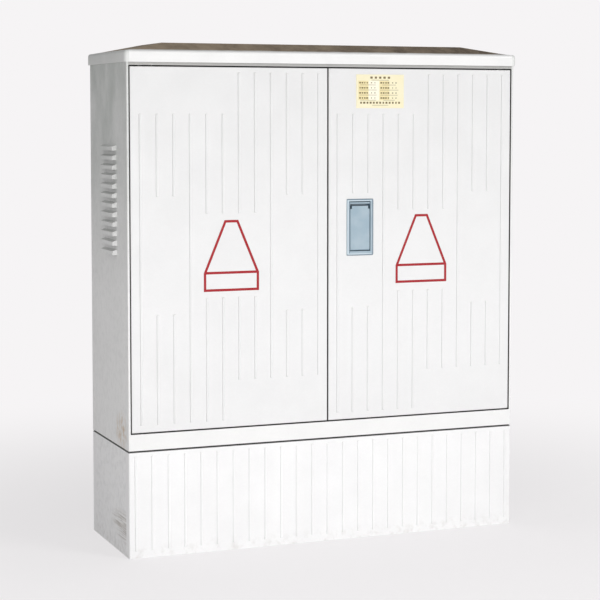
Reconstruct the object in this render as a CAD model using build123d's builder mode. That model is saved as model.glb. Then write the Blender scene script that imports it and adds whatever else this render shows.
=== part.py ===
from build123d import *
from math import cos, radians, sin
import os

# Outdoor two-door distribution cabinet on a plinth. Millimetres, +Z up, front towards -Y.
# The origin is on the floor under the middle of the body.

# Overall sizes of the body and the wall of its mouldings
body_width = 1000.0
body_depth = 320.0
wall = 5.0
overrun = 6.0
running_gap = 0.3
close_gap = 0.05
pivot_gap = 0.08

# Plinth
plinth_height = 250.0
plinth_return = 25.0
plinth_flange = 30.0
plinth_seam = 1.0
plinth_rib_count = 25
plinth_rib_foot = 17.0
plinth_rib_head = 9.0
corner_radius = 3.0

# Raised ribs, shared by plinth, doors and rear panel
rib_width = 6.0
rib_height = 2.0
rib_draft = 35.0

# Corner posts of the plinth
post_leg_side = 50.0
post_leg_front = 40.0
post_sheet = 3.0
foot_size = 60.0
foot_sheet = 4.0
anchor_inset = 35.0
anchor_hole_radius = 7.0

# Gasket between plinth and body
gasket_inset = 3.0
gasket_width = 20.0
gasket_height = 3.0

# Body shell
body_corner = 1.5
side_flange = 30.0
head_height = 18.0
rail_depth = 60.0
rear_return = 25.0
rear_rib_count = 24
rear_rib_margin = 36.0

# Louvres in the side panels
louvre_count = 12
louvre_pitch = 22.3
louvre_low = 452.0
louvre_start = 87.0
louvre_length = 107.0
louvre_reach = 11.0
louvre_sheet = 2.5
louvre_lip = 9.0
louvre_rise = 13.0
louvre_sill = 2.0

# Bolts between plinth and body, and between body and roof
base_bolt_radius = 5.0
base_bolt_head = 9.0
base_bolt_head_height = 6.0
base_bolt_inset = 15.0
base_bolt_step = 290.0
bolt_hole_gap = 0.5
hexagon_side_count = 6
roof_bolt_radius = 4.0
roof_bolt_head = 7.5
roof_bolt_head_height = 5.0
roof_bolt_reach = 12.0

# Roof
roof_skirt = 11.0
roof_wall = 4.5
roof_fit = 0.5
roof_rim = 20.0
roof_rim_rise = 4.0
roof_shoulder = 7.0
roof_corner = 8.0
roof_ledge = 1.0
roof_hip_inset = 30.0
roof_crown_side_inset = 114.0
roof_crown_front_inset = 84.0
roof_hip_rise = 17.0
roof_boss = 24.0
roof_boss_side_inset = 55.0
roof_boss_inset = 17.0

# Doors
door_gap = 3.0
sill_height = 39.0
door_height = 850.0
door_depth = 25.0
door_skin = 4.0
door_edge_radius = 2.5
door_rib_count = 12
door_rib_edge = 23.6
lock_rib_numbers = (1, 2)
sign_rib_numbers = (4, 5)
rib_low_margin = 17.0
rib_high_margin = 12.0
rib_low_blank = 112.5
rib_high_blank = 108.5
lock_blank_low = 274.5
lock_blank_high = 549.5
sign_blank_low = 310.0
sign_blank_high = 508.0

# Door pivots and bushes
pivot_inset = 26.0
pivot_setback = 11.0
pivot_radius = 4.0
pivot_engage = 10.0
pivot_plate_width = 28.0
pivot_plate_sheet = 3.0
bush_barrel_radius = 6.0
bush_barrel = 10.0
bush_flange_radius = 8.5

# Stops and seals behind the doors
stop_gap = 4.0
stop_sheet = 4.0
stop_reach = 26.0
stop_hinge_clear = 60.0
seal_height = 11.0
seal_end_inset = 5.0

# Lock rods and flush bolts: flat bars in guide blocks
rod_width = 12.0
rod_sheet = 4.0
rod_setback = 16.0
rod_tip_gap = 0.5
guide_width = 26.0
guide_height = 14.0
guide_back = 4.0
guide_high_inset = 45.0
guide_low_reach = 140.0

# Flush bolts of the left door
bolt_edge_inset = 40.0
bolt_length = 145.0
bolt_tab = 10.0
bolt_tab_reach = 12.0
bolt_guide_inset = 35.0
bolt_guide_step = 60.0

# Lock of the right door
lock_edge_inset = 82.0
lock_mid_height = 467.5
lock_width = 70.0
lock_height = 137.0
lock_corner = 3.0
bezel_proud = 3.0
bezel_side = 8.0
bezel_top = 5.5
bezel_bottom = 10.5
lock_depth = 13.0
pocket_back = 3.0
lock_wall = 3.0
lock_cut_gap = 0.3
button_height = 4.0
button_top_gap = 2.4
button_depth = 8.0
button_chamfer = 0.5
finger_gap = 5.2
face_recess = 2.0
handle_side_gap = 1.6
handle_sheet = 8.0
handle_foot_gap = 0.8
handle_lip = 7.0
handle_lip_inset = 4.0
trunnion_radius = 1.5
trunnion_length = 3.0

# Cam that draws the lock rods
cam_radius = 20.0
cam_width = 14.0
cam_sheet = 3.5
cam_pin_radius = 3.0
cam_shaft_radius = 5.0
cam_shaft_tail = 1.0
cam_pin_lean = 2.0
rod_eye_wall = 4.0
slot_side_play = 3.0
slot_end_play = 0.7

# Mounting plate and its posts
plate_standoff = 35.0
plate_sheet = 2.0
plate_fold = 15.0
plate_side_room = 65.0
plate_low = 127.0
plate_head_room = 46.0
plate_post_radius = 8.0
plate_post_inset = 50.0

# Busbars, stepped forward one in front of the next so that droppers pass
bar_width = 30.0
bar_sheet = 5.0
bar_side_room = 30.0
bar_head_room = 30.0
bar_step_up = 45.0
bar_step_out = 18.0
bar_standoff = 33.0
support_width = 24.0
support_inset = 30.0
support_foot = 12.0
dropper_sheet = 4.0
dropper_width_share = 0.667
dropper_jog_drop = 25.0
dropper_end_gap = 4.0

# Breakers
main_width = 140.0
main_height = 256.0
main_depth = 105.0
main_bar_room = 64.0
branch_room_share = 0.6375
branch_lead_share = 0.4333
branch_fill_share = 0.643
branch_height = 150.0
branch_depth = 80.0
branch_bar_room = 70.0
branch_count = 4
pole_count = 3
pole_barrier_share = 0.2
shoulder_depth = 58.0
shoulder_height = 34.0
terminal_pocket = 30.0
nose_height_share = 0.42
nose_width_share = 0.66
nose_proud = 4.0
toggle_width = 14.0
toggle_hub_radius = 10.0
toggle_hub_setback = 8.0
toggle_lever = 26.0
toggle_lever_sheet = 6.0
toggle_side_gap = 0.6
toggle_tilt = 18.0

# Neutral and earth bars
bar_overhang = 20.0
neutral_room_share = 0.55
neutral_standoff = 30.0
insulator_radius = 14.0
insulator_waist = 10.0
insulator_rib = 7.0
earth_room_share = 0.28
earth_standoff = 14.0
earth_spacer_radius = 8.0
bar_end_inset = 30.0

# Clear guard in front of the busbars
guard_side_room = 5.0
guard_head_room = 10.0
guard_foot_reach = 40.0
guard_sheet = 3.0
guard_standoff = 104.0
guard_pillar_radius = 5.0
guard_pillar_inset = 12.0

# Cable rail and clamps at the foot of the body
cable_rail_low = 52.0
cable_rail_height = 40.0
cable_rail_depth = 25.0
cable_rail_sheet = 2.5
cable_rail_mouth = 16.0
cable_rail_y = 25.0
rail_end_plate = 60.0
clamp_count = 5
clamp_pitch = 170.0
clamp_radius = 24.0
clamp_sheet = 4.0
clamp_height = 24.0
clamp_foot = 16.0

# Places worked out from the sizes above
half_width = body_width / 2
body_height = sill_height + door_gap + door_height + door_gap + head_height
front_y = -body_depth / 2
rear_y = body_depth / 2
inner_x = half_width - wall
body_base = plinth_height + gasket_height
body_top = body_base + body_height
sill_top = body_base + sill_height
door_base = sill_top + door_gap
door_top = door_base + door_height
rail_base = door_top + door_gap
door_width = (body_width - 2 * wall - 3 * door_gap) / 2
door_back = front_y + door_depth
rib_pitch = (door_width - 2 * door_rib_edge) / (door_rib_count - 1)
left_door_x = -inner_x + door_gap
right_door_x = door_gap / 2
pivot_x = inner_x - door_gap - pivot_inset
pivot_y = front_y + pivot_setback
stop_y = door_back + stop_gap
stop_half = inner_x - stop_hinge_clear
rail_back = front_y + rail_depth
rod_front = front_y + rod_setback
rod_back = rod_front + rod_sheet
plate_y = rear_y - wall - plate_standoff - plate_sheet
plate_width = 2 * (inner_x - plate_side_room)
plate_base = body_base + plate_low
plate_top = body_top - plate_head_room
bar_length = plate_width - 2 * bar_side_room
bar_base = plate_top - bar_head_room - bar_width - (pole_count - 1) * bar_step_up
terminal_y = plate_y - bar_standoff - bar_sheet
lock_x = right_door_x + lock_edge_inset
lock_z = door_base + lock_mid_height
main_pole_pitch = main_width / pole_count
main_base = bar_base - main_bar_room - main_height
main_centre = (main_width - bar_length) / 2
branch_base = bar_base - branch_bar_room - branch_height
branch_room = branch_room_share * bar_length
branch_lead = branch_lead_share * (bar_length - main_width - branch_room)
branch_pitch = branch_room / (branch_count - 1 + branch_fill_share)
branch_width = branch_fill_share * branch_pitch
branch_first = main_centre + main_width / 2 + branch_lead + branch_width / 2
branch_pole_pitch = branch_width / pole_count
dropper_width = dropper_width_share * branch_pole_pitch
branch_span = (branch_count - 1) * branch_pitch

# Centres of the bolts that hold body and plinth together
front_bolts = [(side * base_bolt_step, front_y + base_bolt_inset) for side in (-1, 1)]
rear_bolts = [(x, -y) for x, y in front_bolts]
base_bolts_at = front_bolts + rear_bolts

# Centres of the roof's seating bosses: over the head rail, and over the rear panel's top flange
roof_boss_step = inner_x - roof_boss_side_inset
roof_bosses_at = [
    (end * roof_boss_step, side * (rear_y - roof_boss_inset)) for end in (-1, 1) for side in (-1, 1)
]

os.makedirs("parts", exist_ok=True)


# Plinth front and rear: ribbed mouldings whose returns turn the corners, open behind and below
with BuildPart() as plinth_front:
    with BuildSketch():
        with Locations((0, front_y)):
            Rectangle(body_width, plinth_return, align=(Align.CENTER, Align.MIN))
    extrude(amount=plinth_height)
    front_corners = plinth_front.edges().filter_by(Axis.Z).group_by(Axis.Y)[0]
    fillet(front_corners, radius=corner_radius)
    with BuildSketch():
        with Locations((0, front_y + wall)):
            Rectangle(body_width - 2 * wall, plinth_return, align=(Align.CENTER, Align.MIN))
    extrude(amount=plinth_height - wall, mode=Mode.SUBTRACT)
    with BuildSketch(Plane.XZ.offset(-front_y)):
        with Locations((0, (plinth_height + plinth_rib_foot - plinth_rib_head) / 2)):
            with GridLocations(rib_pitch, plinth_height, plinth_rib_count, 1):
                Rectangle(rib_width, plinth_height - plinth_rib_foot - plinth_rib_head)
    extrude(amount=rib_height, taper=rib_draft)
    with Locations(*[(x, y, plinth_height) for x, y in front_bolts]):
        Hole(base_bolt_radius + bolt_hole_gap, depth=wall)
plinth_front.part.label = "plinth_front"
export_step(plinth_front.part, "parts/plinth_front.step")

with BuildPart() as plinth_rear:
    mirror(plinth_front.part, about=Plane.XZ)
plinth_rear.part.label = "plinth_rear"
export_step(plinth_rear.part, "parts/plinth_rear.step")

# Plinth sides: plain panels between the returns, with a flange at the top that carries the body
with BuildPart() as plinth_left:
    with BuildSketch(Plane.XZ.offset(-front_y - plinth_return - plinth_seam)):
        with Locations((-half_width, 0)):
            Rectangle(wall, plinth_height, align=(Align.MIN, Align.MIN))
        with Locations((-half_width, plinth_height)):
            Rectangle(plinth_flange, wall, align=(Align.MIN, Align.MAX))
    extrude(amount=-(body_depth - 2 * plinth_return - 2 * plinth_seam))
plinth_left.part.label = "plinth_left"
export_step(plinth_left.part, "parts/plinth_left.step")

with BuildPart() as plinth_right:
    mirror(plinth_left.part, about=Plane.YZ)
plinth_right.part.label = "plinth_right"
export_step(plinth_right.part, "parts/plinth_right.step")

# Corner posts: folded steel angles with a welded foot plate that takes the anchor bolt
post_x = half_width - wall
post_y = rear_y - wall
with BuildPart() as plinth_posts:
    with BuildSketch():
        with Locations((post_x, post_y)):
            Rectangle(post_sheet, post_leg_side, align=(Align.MAX, Align.MAX))
            Rectangle(post_leg_front, post_sheet, align=(Align.MAX, Align.MAX))
    extrude(amount=plinth_height - wall)
    with BuildSketch():
        with Locations((post_x, post_y)):
            Rectangle(foot_size, foot_size, align=(Align.MAX, Align.MAX))
        with Locations((post_x - anchor_inset, post_y - anchor_inset)):
            Circle(anchor_hole_radius, mode=Mode.SUBTRACT)
    extrude(amount=foot_sheet)
    mirror(about=Plane.XZ)
    mirror(about=Plane.YZ)
plinth_posts.part.label = "plinth_posts"
export_step(plinth_posts.part, "parts/plinth_posts.step")

# Rubber gasket ring under the body, set back from the faces so that it reads as a dark line
with BuildPart() as base_gasket:
    with BuildSketch(Plane.XY.offset(plinth_height)):
        Rectangle(body_width - 2 * gasket_inset, body_depth - 2 * gasket_inset)
        gasket_bore = gasket_inset + gasket_width
        Rectangle(body_width - 2 * gasket_bore, body_depth - 2 * gasket_bore, mode=Mode.SUBTRACT)
        with Locations(*base_bolts_at):
            Circle(base_bolt_radius + bolt_hole_gap, mode=Mode.SUBTRACT)
    extrude(amount=gasket_height)
base_gasket.part.label = "base_gasket"
export_step(base_gasket.part, "parts/base_gasket.step")

# Left side panel: plain wall with flanges at foot and head, and a bank of louvres with hoods open below
flange_start = rail_back
flange_length = rear_y - rear_return - plinth_seam - flange_start
with BuildPart() as body_left:
    with BuildSketch(Plane.XY.offset(body_base)):
        with Locations((-half_width, 0)):
            Rectangle(wall, body_depth, align=(Align.MIN, Align.CENTER))
    extrude(amount=body_height)
    outer_corners = body_left.edges().filter_by(Axis.Z).group_by(Axis.X)[0]
    fillet(outer_corners, radius=body_corner)
    for flange_base in (body_base, body_top - wall):
        with BuildSketch(Plane.XY.offset(flange_base)):
            with Locations((-half_width, flange_start)):
                Rectangle(side_flange, flange_length, align=(Align.MIN, Align.MIN))
        extrude(amount=wall)
    for step in range(louvre_count):
        hood_base = body_base + louvre_low + step * louvre_pitch
        hood_out = -half_width - louvre_reach
        with BuildSketch(Plane.XZ.offset(-front_y - louvre_start)):
            with BuildLine():
                Polyline(
                    (-half_width, hood_base),
                    (hood_out, hood_base),
                    (hood_out, hood_base + louvre_lip),
                    (-half_width, hood_base + louvre_rise),
                    close=True,
                )
            make_face()
        extrude(amount=-louvre_length)
        with BuildSketch(Plane.XZ.offset(-front_y - louvre_start - louvre_sheet)):
            with BuildLine():
                Polyline(
                    (-inner_x + overrun, hood_base + louvre_sill),
                    (-half_width, hood_base + louvre_sill),
                    (-half_width, hood_base - overrun),
                    (hood_out + louvre_sheet, hood_base - overrun),
                    (hood_out + louvre_sheet, hood_base + louvre_lip - louvre_sheet),
                    (-half_width, hood_base + louvre_rise - louvre_sheet),
                    (-inner_x + overrun, hood_base + louvre_rise - louvre_sheet),
                    close=True,
                )
            make_face()
        extrude(amount=2 * louvre_sheet - louvre_length, mode=Mode.SUBTRACT)
body_left.part.label = "body_left"
export_step(body_left.part, "parts/body_left.step")

with BuildPart() as body_right:
    mirror(body_left.part, about=Plane.YZ)
body_right.part.label = "body_right"
export_step(body_right.part, "parts/body_right.step")

# Rear panel: a ribbed dish between the side panels
rear_plane = Plane(origin=(0, rear_y, 0), x_dir=(-1, 0, 0), z_dir=(0, 1, 0))
with BuildPart() as rear_panel:
    with BuildSketch(Plane.XY.offset(body_base)):
        with Locations((0, rear_y)):
            Rectangle(2 * inner_x, rear_return, align=(Align.CENTER, Align.MAX))
    extrude(amount=body_height)
    with BuildSketch(Plane.XZ.offset(rear_return - rear_y)):
        with Locations((0, body_base + body_height / 2)):
            Rectangle(2 * inner_x - 2 * wall, body_height - 2 * wall)
    extrude(amount=wall - rear_return, mode=Mode.SUBTRACT)
    with BuildSketch(rear_plane):
        with Locations((0, body_base + body_height / 2)):
            with GridLocations(rib_pitch, body_height, rear_rib_count, 1):
                Rectangle(rib_width, body_height - 2 * rear_rib_margin)
    extrude(amount=rib_height, taper=rib_draft)
    with Locations(*[(x, y, body_base + wall) for x, y in rear_bolts]):
        Hole(base_bolt_radius + bolt_hole_gap, depth=wall)
    rear_bosses_at = [(x, y, body_top) for x, y in roof_bosses_at if y > 0]
    with Locations(*rear_bosses_at):
        Hole(roof_bolt_radius + bolt_hole_gap, depth=wall)
rear_panel.part.label = "rear_panel"
export_step(rear_panel.part, "parts/rear_panel.step")

# Head rail: strip over the doors, web that carries the roof, and the doors' upper stop
with BuildPart() as head_rail:
    with BuildSketch(Plane.YZ.offset(-inner_x)):
        with Locations((front_y, body_top)):
            Rectangle(wall, body_top - rail_base, align=(Align.MIN, Align.MAX))
            Rectangle(rail_depth, wall, align=(Align.MIN, Align.MAX))
    extrude(amount=2 * inner_x)
    with BuildSketch(Plane.YZ.offset(-stop_half)):
        with Locations((stop_y, door_top - stop_reach)):
            Rectangle(stop_sheet, body_top - door_top + stop_reach - wall, align=(Align.MIN, Align.MIN))
    extrude(amount=2 * stop_half)
    front_bosses_at = [(x, y, body_top) for x, y in roof_bosses_at if y < 0]
    with Locations(*front_bosses_at):
        Hole(roof_bolt_radius + bolt_hole_gap, depth=wall)
head_rail.part.label = "head_rail"
export_step(head_rail.part, "parts/head_rail.step")

# Sill rail: channel under the doors with their lower stop, pivot holes, and keepers for rod and bolt
rod_eye_offset = cam_radius - cam_pin_lean
upper_rod_x = lock_x + rod_eye_offset
lower_rod_x = lock_x - rod_eye_offset
flush_bolt_x = -right_door_x - bolt_edge_inset
rod_mid = (rod_front + rod_back) / 2
keeper_width = rod_width + 2 * running_gap
keeper_depth = rod_sheet + 2 * running_gap
with BuildPart() as sill_rail:
    with BuildSketch(Plane.YZ.offset(-inner_x)):
        with Locations((front_y, body_base)):
            Rectangle(wall, sill_height, align=(Align.MIN, Align.MIN))
            Rectangle(rail_depth, wall, align=(Align.MIN, Align.MIN))
        with Locations((front_y, sill_top)):
            Rectangle(rail_depth, wall, align=(Align.MIN, Align.MAX))
    extrude(amount=2 * inner_x)
    with BuildSketch(Plane.YZ.offset(-stop_half)):
        with Locations((stop_y, sill_top)):
            Rectangle(stop_sheet, stop_reach, align=(Align.MIN, Align.MIN))
    extrude(amount=2 * stop_half)
    with BuildSketch(Plane.XY.offset(sill_top)):
        with Locations((lower_rod_x, rod_mid), (flush_bolt_x, rod_mid)):
            Rectangle(keeper_width, keeper_depth)
        with Locations((-pivot_x, pivot_y), (pivot_x, pivot_y)):
            Circle(pivot_radius + pivot_gap)
    extrude(amount=-wall, mode=Mode.SUBTRACT)
    with Locations(*[(x, y, body_base + wall) for x, y in front_bolts]):
        Hole(base_bolt_radius + bolt_hole_gap, depth=wall)
sill_rail.part.label = "sill_rail"
export_step(sill_rail.part, "parts/sill_rail.step")


# Roof: one hollow moulding with a fascia, a rounded shoulder and a shallow hipped top with a flat crown
roof_base = body_top - roof_skirt
roof_width = body_width + 2 * (roof_fit + roof_wall)
roof_depth = body_depth + 2 * (roof_fit + roof_wall)
roof_eaves = body_top + roof_rim


def roof_form(shrink, corner, rounded):
    """The roof's outer form, or with shrink its hollow: skirt, shoulder, sloping rim and hipped top."""
    eaves = roof_eaves - shrink
    ledge_inset = roof_shoulder + roof_ledge
    with BuildPart() as form:
        with BuildSketch(Plane.XY.offset(roof_base)):
            RectangleRounded(roof_width - 2 * shrink, roof_depth - 2 * shrink, corner)
        extrude(amount=eaves - roof_rim_rise - roof_base)
        if rounded:
            fillet(form.faces().sort_by(Axis.Z)[-1].edges(), radius=roof_shoulder)
        with BuildSketch(Plane.XY.offset(eaves - roof_rim_rise)):
            Rectangle(roof_width - 2 * ledge_inset, roof_depth - 2 * ledge_inset)
        with BuildSketch(Plane.XY.offset(eaves)):
            Rectangle(roof_width - 2 * roof_hip_inset, roof_depth - 2 * roof_hip_inset)
        loft()
        with BuildSketch(Plane.XY.offset(eaves)):
            Rectangle(roof_width - 2 * roof_hip_inset, roof_depth - 2 * roof_hip_inset)
        with BuildSketch(Plane.XY.offset(eaves + roof_hip_rise)):
            Rectangle(roof_width - 2 * roof_crown_side_inset, roof_depth - 2 * roof_crown_front_inset)
        loft()
    return form.part


with BuildPart() as roof:
    add(roof_form(0, roof_corner, rounded=True))
    add(roof_form(roof_wall, body_corner + roof_fit, rounded=False), mode=Mode.SUBTRACT)
    with BuildSketch(Plane.XY.offset(body_top)):
        with Locations(*roof_bosses_at):
            Rectangle(roof_boss, roof_boss)
            Circle(roof_bolt_radius + close_gap, mode=Mode.SUBTRACT)
    extrude(amount=roof_rim - roof_rim_rise - roof_wall / 2)
roof.part.label = "roof"
export_step(roof.part, "parts/roof.step")

# Bolts with their nuts between plinth and body
with BuildPart() as base_bolts:
    with BuildSketch(Plane.XY.offset(body_base + wall)):
        with Locations(*base_bolts_at):
            RegularPolygon(base_bolt_head, hexagon_side_count)
    extrude(amount=base_bolt_head_height)
    with BuildSketch(Plane.XY.offset(plinth_height - wall)):
        with Locations(*base_bolts_at):
            RegularPolygon(base_bolt_head, hexagon_side_count)
    extrude(amount=-base_bolt_head_height)
    with BuildSketch(Plane.XY.offset(plinth_height - wall)):
        with Locations(*base_bolts_at):
            Circle(base_bolt_radius)
    extrude(amount=gasket_height + 2 * wall)
base_bolts.part.label = "base_bolts"
export_step(base_bolts.part, "parts/base_bolts.step")

# Bolts from below into the roof's bosses
with BuildPart() as roof_bolts:
    with BuildSketch(Plane.XY.offset(body_top - wall)):
        with Locations(*roof_bosses_at):
            RegularPolygon(roof_bolt_head, hexagon_side_count)
    extrude(amount=-roof_bolt_head_height)
    with BuildSketch(Plane.XY.offset(body_top - wall)):
        with Locations(*roof_bosses_at):
            Circle(roof_bolt_radius)
    extrude(amount=wall + roof_bolt_reach)
roof_bolts.part.label = "roof_bolts"
export_step(roof_bolts.part, "parts/roof_bolts.step")

# Rubber seals on the faces of the stops, just clear of the closed doors
seal_sheet = stop_gap - running_gap
for seal_name, seal_base in (("head_seal", door_top - door_skin), ("sill_seal", sill_top)):
    with BuildPart() as seal:
        with BuildSketch(Plane.YZ.offset(seal_end_inset - stop_half)):
            with Locations((stop_y, seal_base)):
                Rectangle(seal_sheet, seal_height, align=(Align.MAX, Align.MIN))
        extrude(amount=2 * (stop_half - seal_end_inset))
    seal.part.label = seal_name
    export_step(seal.part, f"parts/{seal_name}.step")

# Pivots: plates on head rail and sill, each with a pin that carries a door, and flanged bushes in the doors
pivot_plate_depth = 2 * (pivot_setback - wall - running_gap)
for side_name, side in (("left", -1), ("right", 1)):
    with BuildPart() as pivots:
        with BuildSketch(Plane.XY.offset(body_top - wall)):
            with Locations((side * pivot_x, pivot_y)):
                Rectangle(pivot_plate_width, pivot_plate_depth)
        extrude(amount=-pivot_plate_sheet)
        with BuildSketch(Plane.XY.offset(sill_top - wall)):
            with Locations((side * pivot_x, pivot_y)):
                Rectangle(pivot_plate_width, pivot_plate_depth)
        extrude(amount=-pivot_plate_sheet)
        with BuildSketch(Plane.XY.offset(body_top - wall - pivot_plate_sheet)):
            with Locations((side * pivot_x, pivot_y)):
                Circle(pivot_radius)
        extrude(amount=door_top - pivot_engage - body_top + wall + pivot_plate_sheet)
        with BuildSketch(Plane.XY.offset(sill_top - wall)):
            with Locations((side * pivot_x, pivot_y)):
                Circle(pivot_radius)
        extrude(amount=wall + door_gap + pivot_engage)
    pivots.part.label = f"{side_name}_door_pivots"
    export_step(pivots.part, f"parts/{side_name}_door_pivots.step")

    with BuildPart() as bushes:
        with BuildSketch(Plane.XZ):
            with Locations((0, door_base)):
                Rectangle(bush_barrel_radius - close_gap, bush_barrel, align=(Align.MIN, Align.MIN))
                Rectangle(bush_flange_radius, door_gap - running_gap, align=(Align.MIN, Align.MAX))
            with Locations((0, door_top)):
                Rectangle(bush_barrel_radius - close_gap, bush_barrel, align=(Align.MIN, Align.MAX))
                Rectangle(bush_flange_radius, door_gap - running_gap, align=(Align.MIN, Align.MIN))
            with Locations((0, door_base + door_height / 2)):
                Rectangle(
                    pivot_radius + pivot_gap,
                    door_height + 2 * door_gap,
                    align=(Align.MIN, Align.CENTER),
                    mode=Mode.SUBTRACT,
                )
        revolve(axis=Axis.Z)
    bushes_at = Pos(side * pivot_x, pivot_y, 0) * bushes.part
    bushes_at.label = f"{side_name}_door_bushes"
    export_step(bushes_at, f"parts/{side_name}_door_bushes.step")


# Doors: ribbed dishes. The ribs leave blank fields for a plate, the lock and a printed frame
def rib_stretches(number):
    """Start and end height, from the door's foot, of each stretch of the rib with this number."""
    half = door_rib_count // 2
    low = rib_low_margin if number < half else rib_low_blank
    high = door_height - (rib_high_blank if number < half else rib_high_margin)
    place = min(number, door_rib_count - 1 - number)
    if place in lock_rib_numbers:
        return [(low, lock_blank_low), (lock_blank_high, high)]
    if place in sign_rib_numbers:
        return [(low, sign_blank_low), (sign_blank_high, high)]
    return [(low, high)]


def door_panel(door_x, hinge_x):
    """A door moulding with its left edge at door_x, pierced for the pivot bushes at hinge_x."""
    with BuildPart() as panel:
        with BuildSketch(Plane.XZ.offset(-front_y)):
            with Locations((door_x, door_base)):
                Rectangle(door_width, door_height, align=(Align.MIN, Align.MIN))
        extrude(amount=-door_depth)
        fillet(panel.faces().sort_by(Axis.Y)[0].edges(), radius=door_edge_radius)
        with BuildSketch(Plane.XZ.offset(-door_back)):
            with Locations((door_x + door_width / 2, door_base + door_height / 2)):
                Rectangle(door_width - 2 * door_skin, door_height - 2 * door_skin)
        extrude(amount=door_depth - door_skin, mode=Mode.SUBTRACT)
        first_rib = door_x + (door_width - (door_rib_count - 1) * rib_pitch) / 2
        with BuildSketch(Plane.XZ.offset(-front_y)):
            for number in range(door_rib_count):
                for low, high in rib_stretches(number):
                    with Locations((first_rib + number * rib_pitch, door_base + (low + high) / 2)):
                        Rectangle(rib_width, high - low)
        extrude(amount=rib_height, taper=rib_draft)
        with Locations((hinge_x, pivot_y, door_top)):
            Hole(bush_barrel_radius)
    return panel.part


lock_low = lock_z - lock_height / 2
pocket_low = lock_low + bezel_bottom
pocket_high = lock_z + lock_height / 2 - bezel_top
pocket_mid = (pocket_low + pocket_high) / 2
pocket_width = lock_width - 2 * bezel_side
pocket_height = pocket_high - pocket_low
with BuildPart() as left_door:
    add(door_panel(left_door_x, -pivot_x))
    with BuildSketch(Plane.XY.offset(door_top)):
        with Locations((flush_bolt_x, rod_mid)):
            Rectangle(keeper_width, keeper_depth)
    extrude(amount=-door_height, mode=Mode.SUBTRACT)
left_door.part.label = "left_door"
export_step(left_door.part, "parts/left_door.step")

with BuildPart() as right_door:
    add(door_panel(right_door_x, pivot_x))
    with BuildSketch(Plane.XY.offset(door_top)):
        with Locations((upper_rod_x, rod_mid)):
            Rectangle(keeper_width, keeper_depth)
    extrude(amount=-door_skin, mode=Mode.SUBTRACT)
    with BuildSketch(Plane.XY.offset(door_base)):
        with Locations((lower_rod_x, rod_mid)):
            Rectangle(keeper_width, keeper_depth)
    extrude(amount=door_skin, mode=Mode.SUBTRACT)
    with BuildSketch(Plane.XZ.offset(-front_y)):
        with Locations((lock_x, pocket_mid)):
            lock_cut = 2 * (lock_wall + lock_cut_gap)
            Rectangle(pocket_width + lock_cut, pocket_height + lock_cut)
    extrude(amount=-door_skin, mode=Mode.SUBTRACT)
right_door.part.label = "right_door"
export_step(right_door.part, "parts/right_door.step")

# Flush bolts of the left door, with thumb tabs, and their guide blocks
for bolt_name, bolt_tip, inward in (("upper", door_top, -1), ("lower", door_base, 1)):
    with BuildPart() as flush_bolt:
        with BuildSketch(Plane.XY.offset(bolt_tip + inward * rod_tip_gap)):
            with Locations((flush_bolt_x, rod_mid)):
                Rectangle(rod_width, rod_sheet)
        extrude(amount=inward * bolt_length)
        with BuildSketch(Plane.XY.offset(bolt_tip + inward * (rod_tip_gap + bolt_length))):
            with Locations((flush_bolt_x, rod_back)):
                Rectangle(rod_width, bolt_tab_reach, align=(Align.CENTER, Align.MIN))
        extrude(amount=-inward * bolt_tab)
    flush_bolt.part.label = f"{bolt_name}_flush_bolt"
    export_step(flush_bolt.part, f"parts/{bolt_name}_flush_bolt.step")

bolt_guide_reach = bolt_guide_inset + bolt_guide_step
bolt_guides_at = [
    (flush_bolt_x, end + inward * reach)
    for end, inward in ((door_top, -1), (door_base, 1))
    for reach in (bolt_guide_inset, bolt_guide_reach)
]
rod_guides_at = [
    (upper_rod_x, door_top - guide_high_inset),
    (upper_rod_x, lock_z + guide_low_reach),
    (lower_rod_x, lock_z - guide_low_reach),
    (lower_rod_x, door_base + guide_high_inset),
]
for guide_name, guides_at in (("flush_bolt_guides", bolt_guides_at), ("rod_guides", rod_guides_at)):
    with BuildPart() as guides:
        with BuildSketch(Plane.XZ.offset(-front_y - door_skin)):
            with Locations(*guides_at):
                Rectangle(guide_width, guide_height)
        extrude(amount=-(rod_setback + rod_sheet + guide_back - door_skin))
        for guide_x, guide_z in guides_at:
            with BuildSketch(Plane.XY.offset(guide_z - guide_height / 2)):
                with Locations((guide_x, rod_mid)):
                    Rectangle(keeper_width, keeper_depth)
            extrude(amount=guide_height, mode=Mode.SUBTRACT)
    guides.part.label = guide_name
    export_step(guides.part, f"parts/{guide_name}.step")

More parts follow.
